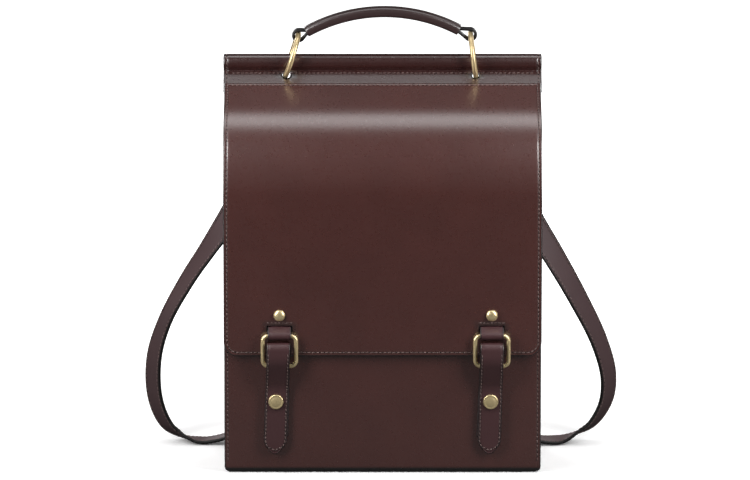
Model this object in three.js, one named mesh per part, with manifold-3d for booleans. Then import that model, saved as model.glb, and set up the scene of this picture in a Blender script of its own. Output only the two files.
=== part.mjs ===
// Leather laptop backpack, standing on its base, in millimetres.
// The origin is the middle of the base. The front faces -Y, +X is right seen from the front.
import * as THREE from 'three';
import { mergeVertices } from 'three/addons/utils/BufferGeometryUtils.js';
import Module from 'manifold-3d';

const wasm = await Module();
wasm.setup();

// Driving sizes
const GAP = 0.3; // between pieces that lie on each other
const LEATHER = 2.4; // panels, flap and closing straps
const BODY_WIDTH = 284.4;
const FLAP_WIDTH = 285;
const BAND_WIDTH = 287;
const FRONT_Y = -47.5; // outer face of the front panel
const BACK_Y = 48; // outer face of the back panel
const FRONT_TOP_Z = 261;
const BACK_TOP_Z = 341.9;
const BACK_LOW_Z = 5.2;
const CORNER = 5.4; // lower corners seen from the front
const FOLD = 6; // fold from the front panel to the base
const TURN_UP = { fold: 6, height: 11 }; // base edge turned up behind the back panel

const FLAP_START = { y: 27.6, z: 343.1 }; // upper edge of the flap, on its outer face
const FLAP_SLOPE = 25; // degrees below level
const FLAP_TOP_RUN = 37.3;
const FLAP_BEND = 81; // radius of the bend over the top
const FLAP_EDGE_Z = 109.2; // lower edge of the flap
const FLAP_CORNER = 13;

const GUSSET = { wall: 2, flange: 9, clear: 4.6, corner: 7, open: 4 };
const ROLL = { y: 43.3, z: 359.3, radius: 6.2 }; // middle of the leather of the roll
const BAND_LEAF_Z = 323.4; // lower edge of the leaf behind the back panel
const BAND_CREASE = { wrap: 240, radius: 2, back: 105 };
const BAND_FRONT_LEAF = { run: 15, bend: 20, radius: 6, tuck: 8 };

const RING = { radius: 20, wire: 4.6, y: 45, z: 365.3, sides: 10, steps: 36 };
const EYELET = { cut: 9, leafY: 37.05, leafZ: 347.25, backZ: 346.1 };
const HANDLE = { radius: 144, top: 405, span: 28.3, lean: 0.65, core: 4.6, depth: 9 };
const COVER = { wall: 2.2, height: 9.9, depth: 14.3, power: 2.6 };
const LOOP = { outer: 6.1, inner: 3.4, tip: 1.8, sink: 1.2, heel: 1.6, slit: 0.12 };
const LOOP_DROP = LOOP.inner - RING.wire / 2 - GAP; // the loops hang on the rings

const TAB = { width: 21, leather: 1.5, slitZ: 134.4, slit: 4, tail: 2, tailTop: 153.2 };
const TAB_NECK = { front: 0.2, sink: 0.9, tip: 1.6, heel: 2.4, slit: 0.1 };
const STUD = { z: 146.4, radius: 5.15, height: 3.4, rim: 0.9, post: 1.5 };
const SQUARE = { wide: 29.8, wire: 3.8, corner: 5, y: -57.5, topZ: 128.6, bottomZ: 101 };
const CLOSING = { width: 21, startZ: 33.2, foldZ: 116.8, foldRadius: 4.6, tipZ: 18.6, tip: 11 };
const CLOSING_RISE = { angle: 14, radius: 40, straight: 9.7 }; // the way up, behind the fold
const CLOSING_FALL = { angle: 24, radius: 25, straight: 5 }; // the way down, in front
const SNAP = { z: 67.2, radius: 6.75, height: 2.8, rim: 1.2, post: 2 };
const SHOULDER = { width: 23.5, leather: 3, steps: 56, floor: 0.1, mostTurn: 100 };

// Where the things that come in pairs stand, and how far each leans. The rings pass through an oval
// hole in the leaf in front and one in the leaf behind: from one x to another, so far up, and so high.
const SIDES = [
  {
    name: 'left', sign: -1, ringX: -81.7, ringLean: 17.7,
    leafHole: { from: -91.2, to: -82, up: 0.4, high: 7.4 },
    backHole: { from: -91.1, to: -82.9, up: 0.45, high: 7 },
    tabX: -92.4, foldX: -93.2, snapX: -95.7, tipX: -96.9, startX: -95.2,
  },
  {
    name: 'right', sign: 1, ringX: 81.7, ringLean: -7.4,
    leafHole: { from: 80, to: 87.4, up: -0.2, high: 7.1 },
    backHole: { from: 80.4, to: 87.4, up: -0.2, high: 6.8 },
    tabX: 97.8, foldX: 98.0, snapX: 97.0, tipX: 95.6, startX: 94.6,
  },
];

// Shoulder straps, a row for each station of the middle line. turn is how far the width has turned
// from lying in the plane of the back (0) to pointing forward (90).
const SHOULDER_ROWS = {
  left: [
    { x: -82, y: 49.8, z: 307, turn: 0 },
    { x: -113.9, y: 52.6, z: 257.6, turn: 10 },
    { x: -139.8, y: 57, z: 212.9, turn: 34.9 },
    { x: -159.9, y: 59, z: 182.1, turn: 56.6 },
    { x: -178.4, y: 62.5, z: 153.3, turn: 60.9 },
    { x: -198.8, y: 68, z: 114, turn: 65.3 },
    { x: -209.2, y: 73, z: 76.7, turn: 56.3 },
    { x: -208, y: 75, z: 38.9, turn: 54.3 },
    { x: -198, y: 74, z: 15.9, turn: 56.3 },
    { x: -186.7, y: 72, z: 7.8, turn: 68.6 },
    { x: -177.9, y: 70, z: 4, turn: 81.3 },
    { x: -170.3, y: 68.5, z: 1.5, turn: 87.3 },
    { x: -152.9, y: 66.5, z: 3.8, turn: 86.7 },
    { x: -138.5, y: 63.5, z: 8.7, turn: 87.4 },
    { x: -122, y: 60, z: 15, turn: 56 },
    { x: -101, y: 54, z: 28, turn: 18 },
    { x: -76, y: 49.8, z: 38, turn: 0 },
  ],
  right: [
    { x: 82, y: 49.8, z: 303, turn: 0 },
    { x: 113.7, y: 51.8, z: 251.7, turn: 8 },
    { x: 138.3, y: 55.3, z: 206.4, turn: 23.7 },
    { x: 156.9, y: 58, z: 175.6, turn: 37.1 },
    { x: 178.8, y: 63, z: 135.8, turn: 47.5 },
    { x: 198, y: 69, z: 95.2, turn: 54.3 },
    { x: 206.9, y: 73.5, z: 61.4, turn: 54.3 },
    { x: 204.6, y: 75, z: 36.8, turn: 57.3 },
    { x: 192.9, y: 72.5, z: 17.7, turn: 65.1 },
    { x: 179.8, y: 69.5, z: 9.9, turn: 74.9 },
    { x: 165, y: 67, z: 3.6, turn: 94 },
    { x: 152.4, y: 65, z: 3.1, turn: 92 },
    { x: 130.5, y: 62.5, z: 7.2, turn: 85 },
    { x: 114, y: 59, z: 16, turn: 54 },
    { x: 97, y: 53.6, z: 28, turn: 20 },
    { x: 76, y: 49.8, z: 38, turn: 0 },
  ],
};

const LEATHER_LOOK = { color: 0x472c2a, roughness: 0.45, metalness: 0 };
const BRASS_LOOK = { color: 0xc8a866, roughness: 0.3, metalness: 1 };
const CORE_LOOK = { color: 0x2a1d1b, roughness: 0.8, metalness: 0 };

const rad = (degrees) => (degrees * Math.PI) / 180;

// A side profile is walked: from a start point, each row goes straight and then turns on a radius.
// A turn to the left is positive. Each point keeps its heading.
function walk(start, heading, rows) {
  let y = start.y;
  let z = start.z;
  let h = rad(heading);
  const points = [{ y, z, h }];
  for (const row of rows) {
    if (row.run) {
      y += row.run * Math.cos(h);
      z += row.run * Math.sin(h);
      points.push({ y, z, h });
    }
    if (row.turn) {
      const side = Math.sign(row.turn);
      const centreY = y - side * row.radius * Math.sin(h);
      const centreZ = z + side * row.radius * Math.cos(h);
      const steps = Math.max(2, Math.ceil(Math.abs(row.turn) / (row.step ?? 12)));
      for (let i = 1; i <= steps; i += 1) {
        const a = h + (rad(row.turn) * i) / steps;
        y = centreY + side * row.radius * Math.sin(a);
        z = centreZ - side * row.radius * Math.cos(a);
        points.push({ y, z, h: a });
      }
      h += rad(row.turn);
    }
  }
  return points;
}

// The outline of a sheet that reaches so far to the left and right of a walked profile.
function sheetShape(points, left, right) {
  const aside = (p, d) => new THREE.Vector2(p.y - d * Math.sin(p.h), p.z + d * Math.cos(p.h));
  const one = points.map((p) => aside(p, -right));
  const other = points.map((p) => aside(p, left)).reverse();
  return new THREE.Shape([...one, ...other]);
}

// A shape drawn in the side view (y, z), carried across the bag from x0 to x1.
function acrossX(shape, x0, x1) {
  const geometry = new THREE.ExtrudeGeometry(shape, { depth: x1 - x0, bevelEnabled: false });
  const m = new THREE.Matrix4().makeBasis(
    new THREE.Vector3(0, 1, 0), new THREE.Vector3(0, 0, 1), new THREE.Vector3(1, 0, 0),
  );
  geometry.applyMatrix4(m);
  geometry.translate(x0, 0, 0);
  return geometry;
}

// A shape drawn in the front view (x, z), carried from y0 back to y1.
function acrossY(shape, y0, y1) {
  const geometry = new THREE.ExtrudeGeometry(shape, { depth: y1 - y0, bevelEnabled: false });
  const m = new THREE.Matrix4().makeBasis(
    new THREE.Vector3(1, 0, 0), new THREE.Vector3(0, 0, 1), new THREE.Vector3(0, -1, 0),
  );
  geometry.applyMatrix4(m);
  geometry.translate(0, y1, 0);
  return geometry;
}

function box(x0, x1, y0, y1, z0, z1) {
  const geometry = new THREE.BoxGeometry(x1 - x0, y1 - y0, z1 - z0);
  geometry.translate((x0 + x1) / 2, (y0 + y1) / 2, (z0 + z1) / 2);
  return geometry;
}

// A round bar along a direction, its middle at a point.
function bar(radius, length, at, direction, sides = 20) {
  const geometry = new THREE.CylinderGeometry(radius, radius, length, sides);
  const up = new THREE.Vector3(0, 1, 0);
  const turn = new THREE.Quaternion().setFromUnitVectors(up, direction.clone().normalize());
  geometry.applyQuaternion(turn);
  geometry.translate(at.x, at.y, at.z);
  return geometry;
}

// A rectangle with round lower corners in the front view.
function roundedShape(x0, x1, z0, z1, lower) {
  const shape = new THREE.Shape();
  shape.moveTo(x0 + lower, z0);
  shape.lineTo(x1 - lower, z0);
  shape.absarc(x1 - lower, z0 + lower, lower, -Math.PI / 2, 0, false);
  shape.lineTo(x1, z1);
  shape.lineTo(x0, z1);
  shape.lineTo(x0, z0 + lower);
  shape.absarc(x0 + lower, z0 + lower, lower, Math.PI, 1.5 * Math.PI, false);
  return shape;
}

// A section carried along stations. Each station has a middle and two directions, and may narrow
// the section's width. A closed sweep joins its last station to its first.
function sweep(stations, section, closed = false) {
  const count = section.length;
  const positions = [];
  for (const s of stations) {
    for (const [a, b] of section) {
      const p = s.middle.clone();
      p.addScaledVector(s.wide, a * (s.narrow ?? 1));
      p.addScaledVector(s.thick, b);
      positions.push(p.x, p.y, p.z);
    }
  }
  const index = [];
  const rings = closed ? stations.length : stations.length - 1;
  for (let i = 0; i < rings; i += 1) {
    const j = (i + 1) % stations.length;
    for (let k = 0; k < count; k += 1) {
      const n = (k + 1) % count;
      index.push(i * count + k, j * count + k, j * count + n);
      index.push(i * count + k, j * count + n, i * count + n);
    }
  }
  if (!closed) {
    const last = (stations.length - 1) * count;
    for (let k = 1; k < count - 1; k += 1) {
      index.push(0, k, k + 1);
      index.push(last, last + k + 1, last + k);
    }
  }
  const geometry = new THREE.BufferGeometry();
  geometry.setAttribute('position', new THREE.Float32BufferAttribute(positions, 3));
  geometry.setIndex(index);
  return facingOut(geometry);
}

// Turns a closed surface so that its faces look outward.
function facingOut(geometry) {
  const p = geometry.getAttribute('position');
  const index = geometry.getIndex().array;
  const corner = (i) => new THREE.Vector3().fromBufferAttribute(p, index[i]);
  let volume = 0;
  for (let i = 0; i < index.length; i += 3) {
    volume += corner(i).dot(corner(i + 1).cross(corner(i + 2)));
  }
  if (volume < 0) {
    const turned = [];
    for (let i = 0; i < index.length; i += 3) {
      turned.push(index[i], index[i + 2], index[i + 1]);
    }
    geometry.setIndex(turned);
  }
  return geometry;
}

function solid(geometry) {
  const bare = geometry.clone();
  bare.deleteAttribute('normal');
  bare.deleteAttribute('uv');
  const merged = mergeVertices(bare, 1e-4);
  const vertProperties = new Float32Array(merged.getAttribute('position').array);
  const triVerts = new Uint32Array(merged.getIndex().array);
  return new wasm.Manifold(new wasm.Mesh({ numProp: 3, vertProperties, triVerts }));
}

function surface(manifold) {
  const mesh = manifold.getMesh();
  const geometry = new THREE.BufferGeometry();
  geometry.setAttribute('position', new THREE.BufferAttribute(mesh.vertProperties, 3));
  geometry.setIndex(new THREE.BufferAttribute(mesh.triVerts, 1));
  return geometry;
}

const backpack = new THREE.Group();
backpack.name = 'laptop_backpack';

function place(name, shape, look) {
  const geometry = shape.isBufferGeometry ? shape : surface(shape);
  geometry.computeVertexNormals();
  const mesh = new THREE.Mesh(geometry, new THREE.MeshStandardMaterial(look));
  mesh.name = name;
  backpack.add(mesh);
}

// Front panel, base and turned-up edge, one sheet
const halfBody = BODY_WIDTH / 2;
const turnUpY = BACK_Y + GAP + LEATHER;
const frontWalk = walk({ y: FRONT_Y, z: FRONT_TOP_Z }, 270, [
  { run: FRONT_TOP_Z - FOLD, turn: 90, radius: FOLD },
  { run: turnUpY - TURN_UP.fold - (FRONT_Y + FOLD), turn: 90, radius: TURN_UP.fold },
  { run: TURN_UP.height - TURN_UP.fold },
]);
const bodyOutline = roundedShape(-halfBody, halfBody, 0, BACK_TOP_Z, CORNER);
let frontPanel = solid(acrossX(sheetShape(frontWalk, LEATHER, 0), -halfBody, halfBody));
frontPanel = frontPanel.intersect(solid(acrossY(bodyOutline, FRONT_Y - 1, turnUpY + 1)));

// Back panel
const backOutline = roundedShape(-halfBody, halfBody, BACK_LOW_Z, BACK_TOP_Z, CORNER);
const backPanel = solid(acrossY(backOutline, BACK_Y - LEATHER, BACK_Y));

// The flap bends over the top and hangs down in front
const flapWalk = walk(FLAP_START, 180 + FLAP_SLOPE, [
  { run: FLAP_TOP_RUN, turn: 90 - FLAP_SLOPE, radius: FLAP_BEND, step: 4.5 },
]);
const flapFront = flapWalk[flapWalk.length - 1];
const flapBendY = flapFront.y + FLAP_BEND;
const flapBendZ = flapFront.z;
flapWalk.push({ y: flapFront.y, z: FLAP_EDGE_Z, h: flapFront.h });
const halfFlap = FLAP_WIDTH / 2;
let flap = solid(acrossX(sheetShape(flapWalk, LEATHER, 0), -halfFlap, halfFlap));
const flapOutline = roundedShape(-halfFlap, halfFlap, FLAP_EDGE_Z, FLAP_START.z + 9, FLAP_CORNER);
flap = flap.intersect(solid(acrossY(flapOutline, flapFront.y - 1, FLAP_START.y + 9)));
const flapInnerY = flapFront.y + LEATHER;

// Side walls with turned-in edges, cut to follow the flap from below
function gussetShape(inset, raise) {
  const y0 = FRONT_Y + LEATHER + GAP + inset;
  const y1 = BACK_Y - LEATHER - GAP - inset;
  const z0 = LEATHER + GAP + inset;
  const round = GUSSET.corner - inset;
  const reach = FLAP_BEND - LEATHER - GUSSET.clear + raise;
  const startAngle = Math.acos((y0 - flapBendY) / reach);
  const endAngle = rad(90 + FLAP_SLOPE);
  const endY = flapBendY + reach * Math.cos(endAngle);
  const endZ = flapBendZ + reach * Math.sin(endAngle);
  const shape = new THREE.Shape();
  shape.moveTo(y0 + round, z0);
  shape.lineTo(y1 - round, z0);
  shape.absarc(y1 - round, z0 + round, round, -Math.PI / 2, 0, false);
  shape.lineTo(y1, endZ + (y1 - endY) * Math.tan(rad(FLAP_SLOPE)));
  shape.lineTo(endY, endZ);
  shape.absarc(flapBendY, flapBendZ, reach, endAngle, startAngle, false);
  shape.lineTo(y0, z0 + round);
  shape.absarc(y0 + round, z0 + round, round, Math.PI, 1.5 * Math.PI, false);
  return shape;
}
for (const side of SIDES) {
  const outer = side.sign * halfBody;
  const inner = side.sign * (halfBody - GUSSET.flange);
  const wall = side.sign * (halfBody - GUSSET.wall);
  const past = inner - side.sign;
  const whole = acrossX(gussetShape(0, 0), Math.min(outer, inner), Math.max(outer, inner));
  const hollow = acrossX(gussetShape(GUSSET.wall, GUSSET.open), Math.min(wall, past), Math.max(wall, past));
  place(`gusset_${side.name}`, solid(whole).subtract(solid(hollow)), LEATHER_LOOK);
}

// An oval hole for a ring, cut through a leaf that slopes at so many degrees
function eyelet(hole, slope, y, z) {
  const round = hole.high / 2;
  const shape = new THREE.Shape();
  shape.moveTo(hole.from + round, -round);
  shape.lineTo(hole.to - round, -round);
  shape.absarc(hole.to - round, 0, round, -Math.PI / 2, Math.PI / 2, false);
  shape.lineTo(hole.from + round, round);
  shape.absarc(hole.from + round, 0, round, Math.PI / 2, 1.5 * Math.PI, false);
  const geometry = new THREE.ExtrudeGeometry(shape, { depth: EYELET.cut, bevelEnabled: false });
  geometry.translate(0, hole.up, -EYELET.cut / 2);
  geometry.rotateX(rad(slope));
  geometry.translate(0, y, z);
  return solid(geometry);
}

// The band along the top: a leaf behind, the roll, and a leaf in front that goes under the flap
const halfBand = BAND_WIDTH / 2;
const bandWalk = walk({ y: ROLL.y + ROLL.radius, z: BAND_LEAF_Z }, 90, [
  { run: ROLL.z - BAND_LEAF_Z, turn: BAND_CREASE.wrap, radius: ROLL.radius, step: 18 },
  { turn: -BAND_CREASE.back, radius: BAND_CREASE.radius, step: 26 },
  { run: BAND_FRONT_LEAF.run, turn: -BAND_FRONT_LEAF.bend, radius: BAND_FRONT_LEAF.radius },
  { run: BAND_FRONT_LEAF.tuck },
]);
const bandShape = sheetShape(bandWalk, LEATHER / 2, LEATHER / 2);
let band = solid(acrossX(bandShape, -halfBand, halfBand));
for (const side of SIDES) {
  band = band.subtract(eyelet(side.leafHole, 45, EYELET.leafY, EYELET.leafZ));
  band = band.subtract(eyelet(side.backHole, 90, ROLL.y + ROLL.radius, EYELET.backZ));
}
place('top_band', band, LEATHER_LOOK);
const coreRadius = ROLL.radius - LEATHER / 2 - GAP;
const coreAt = new THREE.Vector3(0, ROLL.y, ROLL.z);
place('top_core', bar(coreRadius, BAND_WIDTH - 3, coreAt, new THREE.Vector3(1, 0, 0), 24), CORE_LOOK);

// A loop of strap round a bar, drawn as a drop: round at the bar and narrow where it runs off.
function dropPath(path, radius, length, tip) {
  const reach = Math.hypot(length, tip);
  const touch = Math.atan2(tip, length) + Math.acos(radius / reach);
  path.moveTo(length, -tip);
  path.lineTo(length, tip);
  path.absarc(0, 0, radius, touch, 2 * Math.PI - touch, false);
  return path;
}

// Handle: an inner strap with a loop at each end, in a rolled cover
const handleEnd = rad(HANDLE.span);
const handleLean = rad(HANDLE.lean);
const handleCentre = new THREE.Vector3(
  HANDLE.radius * Math.sin(handleLean), RING.y, HANDLE.top - HANDLE.radius * Math.cos(handleLean),
);
const handleOut = (a) => new THREE.Vector3(Math.sin(a - handleLean), 0, Math.cos(a - handleLean));
function handleStations(steps, half) {
  const stations = [];
  for (let i = 0; i <= steps; i += 1) {
    const a = -half + (2 * half * i) / steps;
    const out = handleOut(a);
    const middle = handleCentre.clone().addScaledVector(out, HANDLE.radius);
    stations.push({ middle, wide: new THREE.Vector3(0, 1, 0), thick: out });
  }
  return stations;
}
function ovalSection(wide, thick, count, power) {
  const section = [];
  for (let i = 0; i < count; i += 1) {
    const a = (2 * Math.PI * i) / count;
    const c = Math.cos(a);
    const s = Math.sin(a);
    section.push([
      (wide / 2) * Math.sign(c) * Math.abs(c) ** (2 / power),
      (thick / 2) * Math.sign(s) * Math.abs(s) ** (2 / power),
    ]);
  }
  return section;
}
const flat = (wide, thick) => [
  [-wide / 2, -thick / 2], [wide / 2, -thick / 2], [wide / 2, thick / 2], [-wide / 2, thick / 2],
];
let handleStrap = solid(sweep(handleStations(16, handleEnd), flat(HANDLE.depth, HANDLE.core)));
const holeDepth = COVER.depth - 2 * COVER.wall;
const holeHeight = COVER.height - 2 * COVER.wall;
const coverOutside = ovalSection(COVER.depth, COVER.height, 18, COVER.power);
let cover = solid(sweep(handleStations(18, handleEnd), coverOutside));
cover = cover.subtract(solid(sweep(handleStations(18, handleEnd + 0.02), flat(holeDepth, holeHeight))));
place('handle_cover', cover, LEATHER_LOOK);

for (const side of SIDES) {
  const lean = rad(side.ringLean);
  const ring = new THREE.TorusGeometry(RING.radius, RING.wire / 2, RING.sides, RING.steps);
  ring.rotateY(Math.PI / 2 + lean);
  ring.translate(side.ringX, RING.y, RING.z);
  place(`handle_ring_${side.name}`, solid(ring), BRASS_LOOK);

  const topX = side.ringX + RING.radius * Math.sin(lean);
  const topZ = RING.z + RING.radius * Math.cos(lean) - LOOP_DROP;
  const end = handleCentre.clone().addScaledVector(handleOut(side.sign * handleEnd), HANDLE.radius);
  const length = Math.hypot(end.x - topX, end.z - topZ);
  const angle = Math.atan2(end.z - topZ, end.x - topX);
  const outline = dropPath(new THREE.Shape(), LOOP.outer, length + LOOP.sink, LOOP.tip);
  outline.holes.push(dropPath(new THREE.Path(), LOOP.inner, length - LOOP.heel, LOOP.slit));
  const loop = acrossY(outline, -HANDLE.depth / 2, HANDLE.depth / 2);
  loop.rotateY(-angle);
  loop.translate(topX, RING.y, topZ);
  handleStrap = handleStrap.add(solid(loop));
}
place('handle_strap', handleStrap, LEATHER_LOOK);

// A turned brass piece with its round face to the front: rows of radius and height.
function turned(rows, at) {
  const points = rows.map((row) => new THREE.Vector2(row.radius, row.height));
  const geometry = new THREE.LatheGeometry([...points, points[0]], 24);
  geometry.rotateX(Math.PI);
  geometry.translate(at.x, at.y, at.z);
  return solid(geometry);
}
function domeRows({ radius, height, rim, post }, depth) {
  const rows = [
    { radius: 0, height: -depth }, { radius: post, height: -depth }, { radius: post, height: GAP },
    { radius, height: GAP }, { radius, height: GAP + rim },
  ];
  for (const share of [0.3, 0.55, 0.8]) {
    const rise = GAP + rim + (height - rim) * Math.sin((share * Math.PI) / 2);
    rows.push({ radius: radius * Math.cos((share * Math.PI) / 2) ** 0.8, height: rise });
  }
  rows.push({ radius: 0, height: GAP + height });
  return rows;
}

// A closing strap walks up the front panel, forward past the flap's edge, folds over the square
// ring and comes down in front to lie on itself.
const strapBackY = FRONT_Y - GAP - LEATHER / 2;
const strapFrontY = strapBackY - GAP - LEATHER;
const foldBackY = flapFront.y - GAP - LEATHER / 2;
function shift(distance, angle, radius) {
  const curved = 2 * radius * (1 - Math.cos(rad(angle)));
  return (distance - curved) / Math.sin(rad(angle));
}
function fall(distance, angle, radius) {
  const run = shift(distance, angle, radius);
  return run * Math.cos(rad(angle)) + 2 * radius * Math.sin(rad(angle));
}
const up = CLOSING_RISE;
const down = CLOSING_FALL;
const upBy = strapBackY - foldBackY;
const upZ = CLOSING.foldZ - up.straight - fall(upBy, up.angle, up.radius);
const downBy = strapFrontY - (foldBackY - 2 * CLOSING.foldRadius);
const downZ = CLOSING.foldZ - down.straight - fall(downBy, down.angle, down.radius);
const closingWalk = walk({ y: strapBackY, z: CLOSING.startZ }, 90, [
  { run: upZ - CLOSING.startZ, turn: up.angle, radius: up.radius, step: 5 },
  { run: shift(upBy, up.angle, up.radius), turn: -up.angle, radius: up.radius, step: 5 },
  { run: up.straight, turn: 180, radius: CLOSING.foldRadius, step: 18 },
  { run: down.straight, turn: down.angle, radius: down.radius, step: 6 },
  { run: shift(downBy, down.angle, down.radius), turn: -down.angle, radius: down.radius, step: 6 },
  { run: downZ - CLOSING.tipZ - CLOSING.tip },
]);
const closingEnd = closingWalk[closingWalk.length - 1];
for (const share of [0.35, 0.6, 0.8, 0.93, 1]) {
  closingWalk.push({ y: closingEnd.y, z: closingEnd.z - CLOSING.tip * share, h: closingEnd.h, share });
}
function closingStations(side) {
  let folded = false;
  return closingWalk.map((p) => {
    folded = folded || Math.cos(p.h - Math.PI) > 0.5;
    const from = folded ? side.tipX : side.startX;
    const low = folded ? CLOSING.tipZ : CLOSING.startZ;
    const along = (CLOSING.foldZ - p.z) / (CLOSING.foldZ - low);
    const x = THREE.MathUtils.lerp(side.foldX, from, Math.max(0, along));
    const share = p.share ?? 0;
    return {
      middle: new THREE.Vector3(x, p.y, p.z),
      wide: new THREE.Vector3(1, 0, 0),
      thick: new THREE.Vector3(0, -Math.sin(p.h), Math.cos(p.h)),
      narrow: Math.sqrt(1 - 0.97 * share ** 2.4),
    };
  });
}

// A square ring: a wire bent round a square with rounded corners.
function squareRing(x) {
  const stations = [];
  const halfWide = SQUARE.wide / 2 - SQUARE.corner;
  const halfHigh = (SQUARE.topZ - SQUARE.bottomZ) / 2 - SQUARE.corner;
  const middleZ = (SQUARE.topZ + SQUARE.bottomZ) / 2;
  const corners = [
    { sx: 1, sz: 1, from: 0 }, { sx: -1, sz: 1, from: 90 },
    { sx: -1, sz: -1, from: 180 }, { sx: 1, sz: -1, from: 270 },
  ];
  for (const c of corners) {
    for (let i = 0; i <= 5; i += 1) {
      const a = rad(c.from + 18 * i);
      const out = new THREE.Vector3(Math.cos(a), 0, Math.sin(a));
      const at = new THREE.Vector3(x + c.sx * halfWide, SQUARE.y, middleZ + c.sz * halfHigh);
      stations.push({
        middle: at.addScaledVector(out, SQUARE.corner),
        wide: out,
        thick: new THREE.Vector3(0, 1, 0),
      });
    }
  }
  return sweep(stations, ovalSection(SQUARE.wire, SQUARE.wire, 10, 2), true);
}

for (const side of SIDES) {
  const front = new THREE.Vector3(0, -1, 0);
  const studAt = new THREE.Vector3(side.tabX, flapFront.y, STUD.z);
  const snapAt = new THREE.Vector3(side.snapX, strapFrontY - LEATHER / 2, SNAP.z);

  // Tab: a drop round the ring's upper bar, through the slit, with a tail behind the flap
  const mouthY = flapFront.y - TAB_NECK.front;
  const length = Math.hypot(mouthY - SQUARE.y, TAB.slitZ - SQUARE.topZ);
  const angle = Math.atan2(TAB.slitZ - SQUARE.topZ, mouthY - SQUARE.y);
  const hole = SQUARE.wire / 2 + GAP;
  const outline = dropPath(new THREE.Shape(), hole + TAB.leather, length, TAB_NECK.tip);
  outline.holes.push(dropPath(new THREE.Path(), hole, length - TAB_NECK.heel, TAB_NECK.slit));
  const x0 = side.tabX - TAB.width / 2;
  const x1 = side.tabX + TAB.width / 2;
  const tabDrop = acrossX(outline, x0, x1);
  tabDrop.rotateX(angle);
  tabDrop.translate(0, SQUARE.y, SQUARE.topZ);
  const slitLow = TAB.slitZ - TAB.slit / 2;
  const slitHigh = TAB.slitZ + TAB.slit / 2;
  const tailY = flapInnerY + GAP;
  const behind = box(x0 - 1, x1 + 1, flapFront.y - GAP, flapInnerY, slitLow - 9, slitHigh + 9);
  const neckY = mouthY - TAB_NECK.sink;
  const neck = box(x0, x1, neckY, tailY + TAB.tail, slitLow + GAP, slitHigh - GAP);
  const tail = box(x0 + 1, x1 - 1, tailY, tailY + TAB.tail, slitLow + GAP, TAB.tailTop);
  const postHole = (radius, at, from, to) => {
    const middle = new THREE.Vector3(at.x, (from + to) / 2, at.z);
    return solid(bar(radius + GAP, to - from, middle, front));
  };
  const studHole = postHole(STUD.post, studAt, flapFront.y - 3, tailY + TAB.tail + 1);
  let tab = solid(tabDrop).subtract(solid(behind)).add(solid(neck)).add(solid(tail));
  tab = tab.subtract(studHole);
  place(`tab_${side.name}`, tab, LEATHER_LOOK);
  const slit = box(x0 - GAP, x1 + GAP, flapFront.y - 2, flapInnerY + 2, slitLow, slitHigh);
  flap = flap.subtract(solid(slit)).subtract(studHole);
  const studRows = domeRows(STUD, LEATHER + GAP + TAB.tail);
  place(`stud_${side.name}`, turned(studRows, studAt), BRASS_LOOK);

  place(`square_ring_${side.name}`, solid(squareRing(side.tabX)), BRASS_LOOK);

  const through = postHole(SNAP.post, snapAt, strapFrontY - 4, FRONT_Y + LEATHER + 1);
  const strap = solid(sweep(closingStations(side), flat(CLOSING.width, LEATHER)));
  place(`closing_strap_${side.name}`, strap.subtract(through), LEATHER_LOOK);
  frontPanel = frontPanel.subtract(through);
  const snapDepth = FRONT_Y + LEATHER - snapAt.y;
  const snapRows = domeRows(SNAP, snapDepth);
  place(`snap_${side.name}`, turned(snapRows, snapAt), BRASS_LOOK);
}
place('flap', flap, LEATHER_LOOK);
place('front_panel', frontPanel, LEATHER_LOOK);
place('back_panel', backPanel, LEATHER_LOOK);

// Shoulder straps: from the upper back out, down to the floor and back to the lower back.
// Behind the body they lie on the back panel and never in it, and on the floor never under it.
function shoulderStations(rows) {
  const at = new THREE.CatmullRomCurve3(rows.map((r) => new THREE.Vector3(r.x, r.y, r.z)));
  const turns = new THREE.CatmullRomCurve3(rows.map((r) => new THREE.Vector3(r.turn, 0, 0)));
  const stations = [];
  for (let i = 0; i <= SHOULDER.steps; i += 1) {
    const t = i / SHOULDER.steps;
    const along = at.getTangent(t);
    const turn = rad(THREE.MathUtils.clamp(turns.getPoint(t).x, 0, SHOULDER.mostTurn));
    const inward = new THREE.Vector3(-along.z, 0, along.x).normalize();
    inward.multiplyScalar(-Math.sign(rows[0].x));
    const wide = inward.multiplyScalar(Math.cos(turn)).add(new THREE.Vector3(0, -Math.sin(turn), 0));
    wide.addScaledVector(along, -wide.dot(along)).normalize();
    const thick = new THREE.Vector3().crossVectors(along, wide).normalize();
    const middle = at.getPoint(t);
    const forward = (SHOULDER.width * Math.abs(wide.y) + SHOULDER.leather * Math.abs(thick.y)) / 2;
    const behind = middle.z < TURN_UP.height + SHOULDER.width / 2 ? turnUpY : BACK_Y;
    if (Math.abs(middle.x) < halfBody + 1) {
      middle.y = Math.max(middle.y, behind + GAP + forward);
    }
    const lower = (SHOULDER.width * Math.abs(wide.z) + SHOULDER.leather * Math.abs(thick.z)) / 2;
    middle.z = Math.max(middle.z, SHOULDER.floor + lower);
    stations.push({ middle, wide, thick });
  }
  return stations;
}
for (const side of SIDES) {
  const stations = shoulderStations(SHOULDER_ROWS[side.name]);
  const strap = sweep(stations, flat(SHOULDER.width, SHOULDER.leather));
  place(`shoulder_strap_${side.name}`, solid(strap), LEATHER_LOOK);
}

export default backpack;
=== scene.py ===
# %% [markdown]
# # A leather laptop backpack
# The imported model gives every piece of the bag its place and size. This lesson dresses it: each leather
# piece becomes a thin sheet with a soft painted edge, sewn with real stitches, and each brass piece is
# turned or bent as its maker would do it. All sizes are in millimetres until they go into a mesh.

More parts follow.
